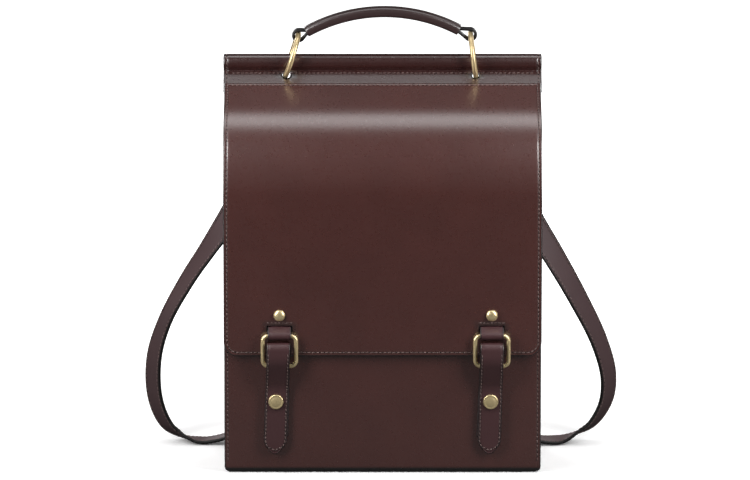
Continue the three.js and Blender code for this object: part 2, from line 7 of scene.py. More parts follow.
import bpy
import numpy as np
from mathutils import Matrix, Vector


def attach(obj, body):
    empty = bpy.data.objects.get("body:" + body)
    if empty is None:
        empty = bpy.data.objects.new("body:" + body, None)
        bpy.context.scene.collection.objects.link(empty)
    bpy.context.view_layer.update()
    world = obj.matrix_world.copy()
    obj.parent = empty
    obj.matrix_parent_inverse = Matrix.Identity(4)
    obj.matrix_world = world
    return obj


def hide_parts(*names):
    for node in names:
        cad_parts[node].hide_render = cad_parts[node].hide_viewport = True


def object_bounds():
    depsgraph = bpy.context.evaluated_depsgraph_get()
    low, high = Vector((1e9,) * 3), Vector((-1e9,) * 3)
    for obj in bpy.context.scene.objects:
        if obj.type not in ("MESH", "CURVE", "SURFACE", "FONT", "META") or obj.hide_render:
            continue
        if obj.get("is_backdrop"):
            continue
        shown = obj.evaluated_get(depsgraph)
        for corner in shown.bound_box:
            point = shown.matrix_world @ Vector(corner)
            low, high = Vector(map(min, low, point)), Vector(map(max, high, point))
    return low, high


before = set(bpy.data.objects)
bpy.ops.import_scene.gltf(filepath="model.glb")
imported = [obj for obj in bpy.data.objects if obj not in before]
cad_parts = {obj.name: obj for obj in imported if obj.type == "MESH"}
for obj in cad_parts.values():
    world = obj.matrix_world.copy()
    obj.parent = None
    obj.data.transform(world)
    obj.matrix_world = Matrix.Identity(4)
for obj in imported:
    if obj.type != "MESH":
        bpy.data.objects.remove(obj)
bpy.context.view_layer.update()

# %% [markdown]
# ## Putting arrays into meshes
# Every shape below is worked out as whole numpy arrays. This helper turns such arrays into an object at
# the origin, makes it ride on its body, gives it its finish and hides the imported pieces that it stands
# for. Faces are turned outward by the sign of the volume that they enclose.

# %% A helper that adds a piece
MM = 0.001


def outward(verts, faces):
    """Flips all faces if the volume inside them, a sum of corner products, is negative."""
    a, b, c, d = (verts[faces[:, k]] for k in range(4))
    volume = np.einsum("ij,ij", a, np.cross(b, c)) + np.einsum("ij,ij", a, np.cross(c, d))
    return faces if volume > 0 else faces[:, ::-1]


def put(name, data):
    """A new object in the scene that shows a mesh, a light or a camera."""
    thing = bpy.data.objects.new(name, data)
    bpy.context.scene.collection.objects.link(thing)
    return thing


def add_piece(name, verts, faces, finish, slot, body="bag", stands_for=(), edge=None):
    """One smooth mesh object from corner points in millimetres and four-sided faces. A face whose first
    and last corner are the same is a triangle."""
    mesh = bpy.data.meshes.new(name)
    three = faces[:, 0] == faces[:, 3]
    lists = faces[~three].tolist() + faces[three, :3].tolist()
    mesh.from_pydata((verts * MM).tolist(), [], lists)
    mesh.polygons.foreach_set("use_smooth", np.ones(len(lists), bool))
    if edge is not None:
        mesh.attributes.new("edge", "FLOAT", "POINT").data.foreach_set("value", edge.astype(np.float32))
    mesh.materials.append(finish)
    mesh.update()
    piece = put(name, mesh)
    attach(piece, body)
    if stands_for:
        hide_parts(*stands_for)
    print(f"{name}: {len(verts)} points, {len(lists)} faces")
    return piece


print("one unit of a mesh is", round(1 / MM), "mm")

# %% [markdown]
# ## Finishes
# The leather is smooth and half glossy. A shader group holds what all the leathers share: a fine pebble
# grain for the bump, slow patches of colour, and the dark paint on cut edges, which is read from an
# attribute that the sheets carry. Under the front panel's fold the same dark paint is painted shade. The
# group is made once and placed in each leather with its own values.

# %% The leather group
def new_group(name, inputs, outputs):
    """A shader node group with named sockets: (name, kind, value) for inputs and (name, kind) for outputs."""
    group = bpy.data.node_groups.new(name, "ShaderNodeTree")
    for label, kind, value in inputs:
        socket = group.interface.new_socket(label, in_out="INPUT", socket_type=kind)
        socket.default_value = value
    for label, kind in outputs:
        group.interface.new_socket(label, in_out="OUTPUT", socket_type=kind)
    return group, group.nodes.new("NodeGroupInput"), group.nodes.new("NodeGroupOutput")


def feed(tree, socket, value):
    """Gives an input socket a number or a colour, or joins it to another node's output."""
    if isinstance(value, (int, float, tuple)):
        socket.default_value = value
    else:
        tree.links.new(value, socket)


def math_node(tree, kind, *values):
    """A math node whose inputs, in their order, are outputs of other nodes or plain numbers."""
    node = tree.nodes.new("ShaderNodeMath")
    node.operation = kind
    for socket, value in zip(node.inputs, values):
        feed(tree, socket, value)
    return node.outputs[0]


def mix_colour(tree, kind, share, first, second):
    """A colour mix node of a blend kind: the share of the second, and the two colours."""
    node = tree.nodes.new("ShaderNodeMix")
    node.data_type, node.blend_type = "RGBA", kind
    for label, value in (("Factor_Float", share), ("A_Color", first), ("B_Color", second)):
        feed(tree, next(k for k in node.inputs if k.identifier == label), value)
    return next(k for k in node.outputs if k.identifier == "Result_Color")


def noise_node(tree, vector, scale, detail=0.0, kind="ShaderNodeTexNoise"):
    """A noise or cell texture at so many features a metre."""
    node = tree.nodes.new(kind)
    node.inputs["Scale"].default_value = scale
    if "Detail" in node.inputs:
        node.inputs["Detail"].default_value = detail
    feed(tree, node.inputs["Vector"], vector)
    return node.outputs[0]


def shaded(tree, colour, noise, share, low):
    """A colour times a shade, which is the low value plus a share of a noise."""
    return mix_colour(tree, "MULTIPLY", 1.0, colour, math_node(tree, "MULTIPLY_ADD", noise, share, low))


COLOUR, VALUE = "NodeSocketColor", "NodeSocketFloat"
PLACE = ("Vector", "NodeSocketVector", (0, 0, 0))
ROUGH_SHARE, PORE_SHARE = 0.12, 0.6
tree, given, made = new_group(
    "grained leather",
    [PLACE, ("Colour", COLOUR, (0.06, 0.03, 0.03, 1)), ("Edge", VALUE, 0.0),
     ("Edge paint", COLOUR, (0.008, 0.006, 0.006, 1)), ("Gloss", VALUE, 0.38)],
    [("Colour", COLOUR), ("Roughness", VALUE), ("Height", VALUE)])
leather_group, place = tree, given.outputs["Vector"]
patch = noise_node(tree, place, scale=26.0, detail=3.0)
pores = noise_node(tree, place, scale=900.0, kind="ShaderNodeTexVoronoi")
fine = noise_node(tree, place, scale=420.0, detail=4.0)
tinted = shaded(tree, given.outputs["Colour"], patch, share=0.34, low=0.83)
painted = mix_colour(tree, "MIX", given.outputs["Edge"], tinted, given.outputs["Edge paint"])
rough = math_node(tree, "MULTIPLY_ADD", fine, ROUGH_SHARE, given.outputs["Gloss"])
height = math_node(tree, "MULTIPLY_ADD", pores, PORE_SHARE, fine)
for label, value in (("Colour", painted), ("Roughness", rough), ("Height", height)):
    feed(tree, made.inputs[label], value)
print("leather group sockets:", [socket.name for socket in tree.interface.items_tree])

# %% [markdown]
# Brass that has been handled is not one even colour, and its polish shows fine streaks. Waxed thread is
# made of fibres. Two materials use each of these effects, so each is a group as well.

# %% The brass and thread groups
tree, given, made = new_group(
    "polished brass",
    [PLACE, ("Colour", COLOUR, (1, 0.8, 0.44, 1)), ("Gloss", VALUE, 0.3), ("Streak", VALUE, 0.06)],
    [("Colour", COLOUR), ("Roughness", VALUE)])
brass_group, place = tree, given.outputs["Vector"]
patch = noise_node(tree, place, scale=60.0, detail=2.0)
fine = noise_node(tree, place, scale=900.0, detail=2.0)
feed(tree, made.inputs["Colour"], shaded(tree, given.outputs["Colour"], patch, share=-0.1, low=1.0))
gloss = math_node(tree, "MULTIPLY_ADD", fine, given.outputs["Streak"], given.outputs["Gloss"])
feed(tree, made.inputs["Roughness"], gloss)

tree, given, made = new_group(
    "waxed thread", [PLACE, ("Colour", COLOUR, (0.165, 0.11, 0.102, 1))], [("Colour", COLOUR)])
thread_group = tree
fibre = noise_node(tree, given.outputs["Vector"], scale=2500.0, detail=2.0)
feed(tree, made.inputs["Colour"], shaded(tree, given.outputs["Colour"], fibre, share=0.3, low=0.7))
print("groups made:", [group.name for group in bpy.data.node_groups])

# %% [markdown]
# A material places its group, feeds it the object's own coordinates, and joins the results to the
# Principled shader, which itself stays in the material. The shader itself stays in the material,
# where an exporter can find it. A leather also reads the edge attribute and turns the group's height
# into a bump.

# %% Leather, brass and thread
def plain_material(name):
    """A new material with nodes, and its tree and Principled shader."""
    material = bpy.data.materials.new(name)
    material.use_nodes = True
    return material, material.node_tree, material.node_tree.nodes["Principled BSDF"]


def group_finish(name, group, values, fixed):
    """A material that places a group with its values, and sets fixed numbers on the shader's sockets."""
    material, tree, shader = plain_material(name)
    effect = tree.nodes.new("ShaderNodeGroup")
    effect.node_tree = group
    feed(tree, effect.inputs["Vector"], tree.nodes.new("ShaderNodeTexCoord").outputs["Object"])
    for label, value in values.items():
        effect.inputs[label].default_value = value
    for label, value in fixed.items():
        shader.inputs[label].default_value = value
    for label, socket in (("Colour", "Base Color"), ("Roughness", "Roughness")):
        if label in effect.outputs:
            feed(tree, shader.inputs[socket], effect.outputs[label])
    return material, effect, shader


# Black paint for cut edges; under the front panel's fold the same black is painted shade.
GRAIN, BLACK_PAINT_AND_SHADE, LEATHER_IOR = 0.00004, (0.006, 0.005, 0.005), 1.7


def leather_finish(name, colour, gloss, shine=1.0, paint=BLACK_PAINT_AND_SHADE, grain=GRAIN):
    """A leather of one colour, with painted edges and a grain of so many metres.
    A low gloss value is a smooth surface, and shine is how much light it mirrors."""
    values = {"Colour": (*colour, 1), "Gloss": gloss, "Edge paint": (*paint, 1)}
    fixed = {"Specular IOR Level": shine, "IOR": LEATHER_IOR}
    material, hide, shader = group_finish(name, leather_group, values, fixed)
    tree = material.node_tree
    mark = tree.nodes.new("ShaderNodeAttribute")
    mark.attribute_name = "edge"
    feed(tree, hide.inputs["Edge"], mark.outputs["Fac"])
    bump = tree.nodes.new("ShaderNodeBump")
    bump.inputs["Strength"].default_value = 1.0
    bump.inputs["Distance"].default_value = grain
    feed(tree, bump.inputs["Height"], hide.outputs["Height"])
    feed(tree, shader.inputs["Normal"], bump.outputs[0])
    return material


def brass_finish(name, colour, gloss, streak):
    """Polished brass: slow patches in its colour and fine streaks in its gloss."""
    values = {"Colour": (*colour, 1), "Gloss": gloss, "Streak": streak}
    return group_finish(name, brass_group, values, {"Metallic": 0.75})[0]


def thread_finish(name, colour):
    """Waxed thread: a plain dark colour with fine fibres."""
    return group_finish(name, thread_group, {"Colour": (*colour, 1)}, {"Roughness": 0.55})[0]


brown = leather_finish("brown leather", (0.062, 0.0178, 0.0146), gloss=0.23)
# The top band's colour is darker than the flap's brown: painted shade for the underside of the roll.
band_shade_brown = leather_finish("band leather with painted shade", (0.03, 0.007, 0.006), gloss=0.23, shine=0.85)
strap_brown = leather_finish("strap leather", (0.074, 0.045, 0.047), gloss=0.5, shine=0.2)
handle_brown = leather_finish("handle leather", (0.034, 0.018, 0.018), gloss=0.24, shine=0.7)
loop_black = leather_finish("loop leather", (0.01, 0.007, 0.007), gloss=0.4, shine=0.25)
clasp_brown = leather_finish("clasp leather", (0.06, 0.023, 0.025), gloss=0.34, shine=0.5,
                             paint=(0.02, 0.012, 0.012))
filling = leather_finish("roll filling", (0.02, 0.013, 0.012), gloss=0.6, grain=0.0001)
brass = brass_finish("pale brass", (1.0, 0.8, 0.44), gloss=0.3, streak=0.06)
old_brass = brass_finish("worn brass", (0.8, 0.62, 0.34), gloss=0.3, streak=0.08)
thread = thread_finish("brown thread", (0.165, 0.11, 0.102))
# Dark spots in the needle holes: painted shade, made in the thread finish.
hole_shade = thread_finish("needle hole shade", (0.012, 0.008, 0.008))
print("finishes made:", len(bpy.data.materials))

# %% [markdown]
# ## Ribbons
# A strip of leather is a flat thing that has been bent. So each piece is drawn flat, as distances across
# and along, and then laid on a ribbon: a middle line that carries a width direction and an outward
# direction. Stitches are laid on the same ribbon, so they always follow the leather.

# %% Ribbon helpers
def unit(v):
    """Each row of v divided by its length."""
    return v / np.linalg.norm(v, axis=-1, keepdims=True)


def lengths(line):
    """The length along a line of points, from its start to each point."""
    return np.concatenate([[0.0], np.cumsum(np.linalg.norm(np.diff(line, axis=0), axis=1))])


def between(at, s, rows):
    """Rows given at the lengths s, read off at other lengths: each column by straight lines."""
    return np.stack([np.interp(at, s, column) for column in rows.T], -1)


def ribbon(middle, wide, out, spare=6.0):
    """A middle line with its length from the start, run on straight by a spare length at both ends."""
    s = lengths(middle)
    first = unit(middle[1] - middle[0])
    last = unit(middle[-1] - middle[-2])
    middle = np.vstack([middle[0] - spare * first, middle, middle[-1] + spare * last])
    s = np.concatenate([[-spare], s, [s[-1] + spare]])
    wide = np.vstack([wide[:1], wide, wide[-1:]])
    out = np.vstack([out[:1], out, out[-1:]])
    return {"s": s, "middle": middle, "wide": wide, "out": out, "length": s[-1] - spare}


def pick(path, key, along):
    """A column of a ribbon at some lengths along it."""
    return between(along, path["s"], path[key])


def strip_ribbon(middle, wide, spare=6.0):
    """A ribbon with one width direction: outward is the way ahead crossed with the width."""
    wide = np.tile(np.asarray(wide, float), (len(middle), 1))
    return ribbon(middle, wide, unit(np.cross(unit(np.gradient(middle, axis=0)), wide)), spare)


def lay(path, across, along, height):
    """Middle line at the length along, plus across times the width, plus height times outward."""
    across, along, height = np.broadcast_arrays(across, along, height)
    wide, out = unit(pick(path, "wide", along)), unit(pick(path, "out", along))
    return pick(path, "middle", along) + across[..., None] * wide + height[..., None] * out


def walk(start, heading, rows):
    """A side profile: each row (run, turn, radius) goes straight and then turns, to the left if positive.
    The width lies along X and the outward direction is to the right of the way walked."""
    y, z, h = start[0], start[1], np.radians(heading)
    parts = [np.array([[y, z, h]])]
    for run, turn, radius in rows:
        if run:
            t = np.linspace(0, run, max(2, int(run / 3)) + 1)[1:]
            parts.append(np.stack([y + t * np.cos(h), z + t * np.sin(h), 0 * t + h], 1))
        y, z, h = parts[-1][-1]
        if turn:
            side = np.sign(turn)
            count = max(8, int(abs(np.radians(turn)) * radius))
            a = h + np.radians(turn) * np.linspace(0, 1, count + 1)[1:]
            cy, cz = y - side * radius * np.sin(h), z + side * radius * np.cos(h)
            parts.append(np.stack([cy + side * radius * np.sin(a), cz - side * radius * np.cos(a), a], 1))
        y, z, h = parts[-1][-1]
    p = np.vstack(parts)
    middle = np.stack([0 * p[:, 0], p[:, 0], p[:, 1]], 1)
    out = np.stack([0 * p[:, 0], np.sin(p[:, 2]), -np.cos(p[:, 2])], 1)
    return ribbon(middle, np.tile([1.0, 0, 0], (len(p), 1)), out)


print("ribbon of a quarter turn:", round(walk((0, 0), 0, [(0, 90, 10)])["length"], 2), "mm")

# %% [markdown]
# ## Sheets
# A sheet has an outer and an inner face, which are the same flat grid laid at two heights. Where the grid
# ends, at its border or round a hole, the two faces are joined by a rim in the shape of half an ellipse,
# as a burnished edge has. The rim carries the edge attribute that the finish paints dark.

# %% Sheet helpers
RIM, FACE_PAINT = 0.9, 0.55
RIM_ANGLES = np.radians([60, 30, 0, -30, -60])


def grid_faces(rows, columns, close_rows=False, close_columns=False):
    """Four-sided faces between the numbered points of a grid, and from the last to the first if closed."""
    index = np.arange(rows * columns).reshape(rows, columns)
    index = np.vstack([index, index[:1]]) if close_rows else index
    index = np.hstack([index, index[:, :1]]) if close_columns else index
    return np.stack([index[:-1, :-1], index[1:, :-1], index[1:, 1:], index[:-1, 1:]], -1)


def sheet(path, across, along, outer, inner, keep=None):
    """The outer and inner grids and a rim: at angle t it lies RIM cos t outside the border, at the middle
    height plus half the thickness times sin t. The border is where a directed edge has no partner."""
    n, m = across.shape
    quads = grid_faces(n, m)
    quads = quads.reshape(-1, 4) if keep is None else quads[keep]
    a = across.ravel()
    b, outer, inner = (np.broadcast_to(values, (n, m)).ravel() for values in (along, outer, inner))
    start, end = quads.ravel(), np.roll(quads, -1, 1).ravel()
    border = ~np.isin(start * n * m + end, end * n * m + start)
    start, end = start[border], end[border]
    da, db = a[end] - a[start], b[end] - b[start]
    long = np.hypot(da, db)
    na, nb = np.zeros(n * m), np.zeros(n * m)
    for corner in (start, end):
        np.add.at(na, corner, -db / long)
        np.add.at(nb, corner, da / long)
    loop = np.unique(start)
    size = np.maximum(np.hypot(na[loop], nb[loop]), 1e-9)
    na, nb = na[loop] / size, nb[loop] / size
    where = np.full(n * m, -1)
    where[loop] = np.arange(len(loop))
    middle, half = (outer[loop] + inner[loop]) / 2, (outer[loop] - inner[loop]) / 2
    t = RIM_ANGLES[:, None]
    rim = lay(path, a[loop] + RIM * na * np.cos(t), b[loop] + RIM * nb * np.cos(t), middle + half * np.sin(t))
    used = np.unique(quads)
    low = np.full(n * m, -1)
    low[used] = np.arange(len(used))
    k, r = len(used), len(loop)
    verts = np.vstack([lay(path, a[used], b[used], outer[used]), lay(path, a[used], b[used], inner[used]),
                       rim.reshape(-1, 3)])
    rows = [low[loop]] + [2 * k + i * r + np.arange(r) for i in range(len(RIM_ANGLES))] + [k + low[loop]]
    faces = [low[quads], k + low[quads][:, ::-1]]
    for upper, lower in zip(rows[:-1], rows[1:]):
        s, e = where[start], where[end]
        faces.append(np.stack([upper[e], upper[s], lower[s], lower[e]], 1))
    face_edge = np.isin(used, loop) * FACE_PAINT
    return verts, np.vstack(faces), np.concatenate([face_edge, face_edge, np.ones(rim.size // 3)])


def leather_piece(node, shape, finish, slot="leather", body="bag"):
    """Adds a sheet's (points, faces, edge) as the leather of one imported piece."""
    verts, faces, edge = shape
    return add_piece(f"{node}_leather", verts, faces, finish, slot, body, [node], edge)


MARGIN = np.array([0.0, 0.8, 1.7, 2.4, 3.0, 3.8, 5.2, 8.0])


def spread(low, high, step, extra=(), margin=MARGIN):
    """Grid lines from low to high: close together at both ends, where the stitches lie, even between."""
    inner_low, inner_high = low + margin[-1], high - margin[-1]
    count = max(2, int(np.ceil((inner_high - inner_low) / step)) + 1)
    lines = np.concatenate([low + margin, np.linspace(inner_low, inner_high, count), high - margin])
    extra = np.asarray(extra, float)
    if len(extra):
        near = np.abs(lines[:, None] - extra[None]).min(1) < 0.35 * step
        ends = (lines < low + 0.1) | (lines > high - 0.1)
        lines = np.concatenate([lines[~near | ends], extra])
    return np.unique(np.round(lines, 4))


def corner_width(half, corner, to_end):
    """Half width near a round corner: half - r + sqrt(r^2 - (r - d)^2) at distance d from the end."""
    d = np.clip(to_end, 0, corner)
    return half - corner + np.sqrt(np.maximum(corner ** 2 - (corner - d) ** 2, 0))


GROOVE, EDGE_DROP, EDGE_FADE = 0.7, 0.25, 0.8


def sewn(height, distance, inset, depth=0.35):
    """Sinks a face along a stitch line: a bell of that depth where the distance to the edge is the inset.
    The very edge drops as well, by a share that fades with the distance."""
    bell = depth * np.exp(-(((distance - inset) / GROOVE) ** 2))
    return height - bell - EDGE_DROP * np.exp(-distance / EDGE_FADE)


def waves(across, along, distance, high, wide, long, shift=0.0, fade=30):
    """The soft unevenness of a face: high sin(across / wide + shift) sin(along / long), less at the edge."""
    return high * np.sin(across / wide + shift) * np.sin(along / long) * np.clip(distance / fade, 0, 1)


print("grid lines over 60 mm:", spread(0, 60, 12).tolist())

# %% [markdown]
# ## Stitches
# A saddle stitch is a short thick thread that dips into a needle hole at both ends. One small capsule is
# worked out once and repeated along a line on the ribbon, turned a little, as a hand-sewn row has it. A
# dark spot of painted shade between two stitches stands for the shade inside the hole.

# %% Stitch helpers
SIDES = 6
CAPSULE_U = np.array([-1.0, -0.8, -0.3, 0.3, 0.8, 1.0])
CAPSULE_R = np.array([0.3, 0.75, 1.0, 1.0, 0.75, 0.3])
around = np.linspace(0, 2 * np.pi, SIDES, endpoint=False)
CAPSULE = np.stack([np.repeat(CAPSULE_U, SIDES), np.outer(CAPSULE_R, np.cos(around)).ravel(),
                    np.outer(CAPSULE_R, np.sin(around)).ravel()], 1)
skin = grid_faces(len(CAPSULE_U), SIDES, close_columns=True).reshape(-1, 4)
skin = skin[:, [0, 3, 2, 1]]
cap = np.array([[0, 5, 4, 3], [0, 3, 2, 1]])
CAPSULE_FACES = np.vstack([skin, cap, len(CAPSULE) - SIDES + cap[:, ::-1]])


def even(line, pitch, shift=0.0):
    """Points at an even pitch along a flat line of (across, along), and the line's direction there."""
    s = lengths(line)
    count = max(2, int(s[-1] / pitch))
    at = (np.arange(count) + 0.5 + shift) * s[-1] / count
    at = at[at < s[-1]]
    return between(at, s, line), unit(between(at + 0.3, s, line) - between(at - 0.3, s, line))


def repeat_capsule(path, point, way, height, size, turn):
    """A capsule of (half length, half width, half height) at each flat point, along its way and turned."""
    centre = lay(path, point[:, 0], point[:, 1], height)
    tip = lay(path, point[:, 0] + 0.2 * way[:, 0], point[:, 1] + 0.2 * way[:, 1], height)
    out = unit(pick(path, "out", point[:, 1]))
    x = unit(tip - centre)
    y = unit(np.cross(out, x))
    x, y = x * np.cos(turn) + y * np.sin(turn), y * np.cos(turn) - x * np.sin(turn)
    axes = np.stack([x, y, out], 1)
    verts = centre[:, None] + (CAPSULE * np.asarray(size)) @ axes
    faces = CAPSULE_FACES[None] + (np.arange(len(centre)) * len(CAPSULE))[:, None, None]
    return verts.reshape(-1, 3), faces.reshape(-1, 4)


def join(parts):
    """Several (points, faces) in one."""
    offset = np.cumsum([0] + [len(v) for v, _ in parts])
    return np.vstack([v for v, _ in parts]), np.vstack([f + o for (_, f), o in zip(parts, offset)])


STITCH_LONG, STITCH_WIDE, STITCH_HIGH, STITCH_TURN = 0.36, 0.48, 0.45, 0.14
# Size and depth of the dark spots of painted shade in the needle holes.
HOLE_SHADE_SIZE, HOLE_SHADE_SUNK = (0.5, 0.42, 0.16), 0.08


def sew(name, path, lines, height, slot="leather", pitch=4.0):
    """Rows of stitches along flat lines on a ribbon, with dark spots of painted shade where the needle went
    through.
    """
    size = (STITCH_LONG * pitch, STITCH_WIDE, STITCH_HIGH)
    threads = [repeat_capsule(path, *even(line, pitch), height, size, STITCH_TURN) for line in lines]
    sunk = height - HOLE_SHADE_SUNK
    hole_shades = [repeat_capsule(path, *even(line, pitch, 0.5), sunk, HOLE_SHADE_SIZE, 0.0) for line in lines]
    add_piece(name + "_stitches", *join(threads), thread, slot)
    add_piece(name + "_needle_hole_shades", *join(hole_shades), hole_shade, slot)


def straight(a0, b0, a1, b1):
    """A flat straight line from one (across, along) to another."""
    return np.array([(a0, b0), (a1, b1)], float)


def side_rows(side, start, end):
    """Two straight rows along a piece, one near each side."""
    return [straight(x, start, x, end) for x in (-side, side)]


def cross_row(side, at):
    """One straight row across a piece, from side to side."""
    return straight(-side, at, side, at)


def u_line(half, start, end, corner, inset):
    """Down one side, round the lower corners and up the other side, inset from a sheet's outline."""
    w, low, r = half - inset, end - inset, max(corner - inset, 0.5)
    t = np.linspace(0, np.pi / 2, 12)
    left = np.stack([-w + r - r * np.cos(t), low - r + r * np.sin(t)], 1)
    right = np.stack([w - r + r * np.sin(t), low - r + r * np.cos(t)], 1)
    return np.vstack([[[-w, start]], left, right, [[w, start]]])


print("capsule faces:", len(CAPSULE_FACES))

# %% [markdown]
# ## The body
# The front, the base and a turned-up edge behind are one sheet of leather. It could be cut from a box,
# but a real one is folded, so it is walked: down the front, round the fold, along the base and up again.

# %% Front panel, base and turned-up edge
LEATHER, BODY, STITCH = 2.4, 284.4, 3.1
FRONT_Y, BACK_Y, GAP = -47.5, 48.0, 0.3
FRONT_TOP, BACK_LOW, BACK_TOP, CORNER, FOLD = 261.0, 5.2, 341.9, 5.4, 6.0
FOLD_SHADE_TOP, FOLD_SHADE_FADE, TURN_UP = 5.4, 0.8, 5.0
turn_up_y, fold_start, half = BACK_Y + GAP + LEATHER, FRONT_TOP - FOLD, BODY / 2
front_path = walk((FRONT_Y, FRONT_TOP), 270,
                  [(fold_start, 90, FOLD), (turn_up_y - FRONT_Y - 2 * FOLD, 90, FOLD), (TURN_UP, 0, 0)])
b = spread(RIM, front_path["length"] - RIM, 7.0, np.linspace(fold_start - 12, fold_start + 15, 22))
share = spread(-half + RIM, half - RIM, 7.0) / (half - RIM)
front_z = pick(front_path, "middle", b)[:, 2]
across = corner_width(half, CORNER, front_z)[:, None] * share - RIM * np.sign(share)
along = b[:, None]
distance = corner_width(half, CORNER, front_z)[:, None] - np.abs(across)
soft = waves(across, along, distance, high=0.25, wide=47, long=39)
verts, faces, edge = sheet(front_path, across, along, sewn(soft, distance, STITCH), -LEATHER)
# The underside of the fold, the last few millimetres above the floor, gets the black paint too: painted shade
# where the bag meets the floor.
edge = np.maximum(edge, np.clip((FOLD_SHADE_TOP - verts[:, 2]) / FOLD_SHADE_FADE, 0, 1))
leather_piece("front_panel", (verts, faces, edge), brown)
side, row_inset = half - STITCH, 4.0
sew("front_panel", front_path,
    side_rows(side, 6, 250) + [cross_row(side - row_inset, front_path["length"] - 3.0)], 0.0)

# %% [markdown]
# The back is a flat sheet with round lower corners. It isn't seen in the photograph, so it is plain.

# %% Back panel
back_path = walk((BACK_Y, BACK_LOW), 90, [(BACK_TOP - BACK_LOW, 0, 0)])
b = spread(RIM, back_path["length"] - RIM, 9.0)
across = (corner_width(half, CORNER, b)[:, None] - RIM) * share
along = b[:, None]
distance = corner_width(half, CORNER, b)[:, None] - np.abs(across)
soft = waves(across, along, distance, high=0.2, wide=41, long=52, shift=1)
leather_piece("back_panel", sheet(back_path, across, along, sewn(soft, distance, STITCH), -LEATHER), brown)
sew("back_panel", back_path, side_rows(side, 12, 312), 0.0)

# %% [markdown]
# ## The flap
# The flap starts under the rolled top, slopes forward, bends over on a large radius and hangs down the
# front. Two slits let the tabs through. A slit is a window in the flat grid: the cells are left out, and
# the rim closes the leather round it by itself.

# %% Flap
FLAP, FLAP_CORNER, FLAP_EDGE, FLAP_BEND = 285.0, 13.0, 109.2, 81.0
FLAP_START, FLAP_SLOPE, SLOPE_LONG = (27.6, 343.1), 25, 37.3
flap_rows = [(SLOPE_LONG, 90 - FLAP_SLOPE, FLAP_BEND)]
bend_end = walk(FLAP_START, 180 + FLAP_SLOPE, flap_rows)["middle"][-2]
flap_path = walk(FLAP_START, 180 + FLAP_SLOPE, flap_rows + [(bend_end[2] - FLAP_EDGE, 0, 0)])
flap_y, half_flap, flap_long = bend_end[1], FLAP / 2, flap_path["length"]
TAB_X = {"left": -92.4, "right": 97.8}
TAB_WIDTH, SLIT_Z, SLIT = 21.0, 134.4, 4.0
slit_low = flap_long - (SLIT_Z - FLAP_EDGE) - SLIT / 2 - RIM
slit_high = slit_low + SLIT + 2 * RIM
slit_half = TAB_WIDTH / 2 + GAP + RIM
slit_x = [x + s * slit_half for x in TAB_X.values() for s in (-1, 1)]
b = spread(RIM, flap_long - RIM, 5.0, [slit_low, slit_high])
b = np.unique(np.concatenate([b, flap_long - RIM - FLAP_CORNER * (1 - np.cos(np.linspace(0.1, 1.5, 9)))]))
a = spread(-half_flap + RIM, half_flap - RIM, 6.0, slit_x)
width = corner_width(half_flap, FLAP_CORNER, flap_long - b)[:, None]
STILL = 110.0
pull = np.clip((np.abs(a) - STILL) / (half_flap - RIM - STILL), 0, 1)
across = a - np.sign(a) * pull * (half_flap - width)
along = b[:, None]
distance = np.minimum(np.minimum(width - np.abs(across), flap_long - along), along)
soft = waves(across, along, distance, high=0.35, wide=53, long=44, shift=0.6, fade=40)
mid_a, mid_b = (a[:-1] + a[1:]) / 2, (b[:-1] + b[1:]) / 2
in_slit = np.abs(mid_a[None] - np.array(list(TAB_X.values()))[:, None]).min(0) < slit_half
keep = ~(((mid_b > slit_low) & (mid_b < slit_high))[:, None] & in_slit[None])
leather_piece("flap", sheet(flap_path, across, along, sewn(soft, distance, STITCH), -LEATHER, keep), brown)
slit_row, row_half = slit_low - 2.2, 12
sew("flap", flap_path, [u_line(half_flap, 1.5, flap_long, FLAP_CORNER, STITCH),
                        cross_row(half_flap - 6, STITCH + 0.4)], 0.0)
sew("slit", flap_path, [straight(x - row_half, slit_row, x + row_half, slit_row) for x in TAB_X.values()],
    0.0, pitch=3.2)

# %% [markdown]
# ## The rolled top
# A band of leather goes up behind, rolls over a filling, is pinched in a crease and comes down in front
# as a leaf that the flap is sewn to. The handle rings pass through oval holes in both leaves. The holes
# are windows whose square border is drawn in to an oval: a point at (u, v) from the middle is scaled by
# the larger of the two over their length, with a power above 2, which makes a full oval.

# %% Top band
BAND, ROLL_Y, ROLL_Z, ROLL, BAND_LOW = 287.0, 43.3, 359.3, 6.2, 323.4
ROLL_TURN, CREASE_TURN, CREASE = 240, 105, 2.0
LEAF_HOLE, BACK_HOLE_Z, OVAL_POWER = np.array([37.05, 347.25]), 346.1, 2.3
back_high = ROLL_Z - BAND_LOW
band_path = walk((ROLL_Y + ROLL, BAND_LOW), 90,
                 [(back_high, ROLL_TURN, ROLL), (0, -CREASE_TURN, CREASE), (15, -20, 6), (8, 0, 0)])
band_long, half_band = band_path["length"], BAND / 2
crease = back_high + np.radians(ROLL_TURN) * ROLL
leaf_start = crease + np.radians(CREASE_TURN) * CREASE
leaf_at = leaf_start + np.linalg.norm(pick(band_path, "middle", leaf_start)[1:] - LEAF_HOLE)
back_at = BACK_HOLE_Z - BAND_LOW
EYELETS = np.array([  # place across, half width, place along, half height
    (-86.55, 5.1, leaf_at - 0.4, 4.6), (-87.0, 4.5, back_at + 0.45, 4.1),
    (83.75, 4.15, leaf_at + 0.17, 4.0), (83.95, 3.85, back_at - 0.17, 3.75)])
quarter = np.array([-1.0, -0.5, 0.0, 0.5, 1.0])
a = spread(-half_band + RIM, half_band - RIM, 6.0, np.unique(EYELETS[:, :1] + EYELETS[:, 1:2] * quarter))
b = spread(RIM, band_long - RIM, 2.2, np.unique(EYELETS[:, 2:3] + EYELETS[:, 3:] * quarter))
across, along = np.meshgrid(a, b)
mid_a, mid_b = np.meshgrid((a[:-1] + a[1:]) / 2, (b[:-1] + b[1:]) / 2)
keep = np.ones(mid_a.shape, bool)
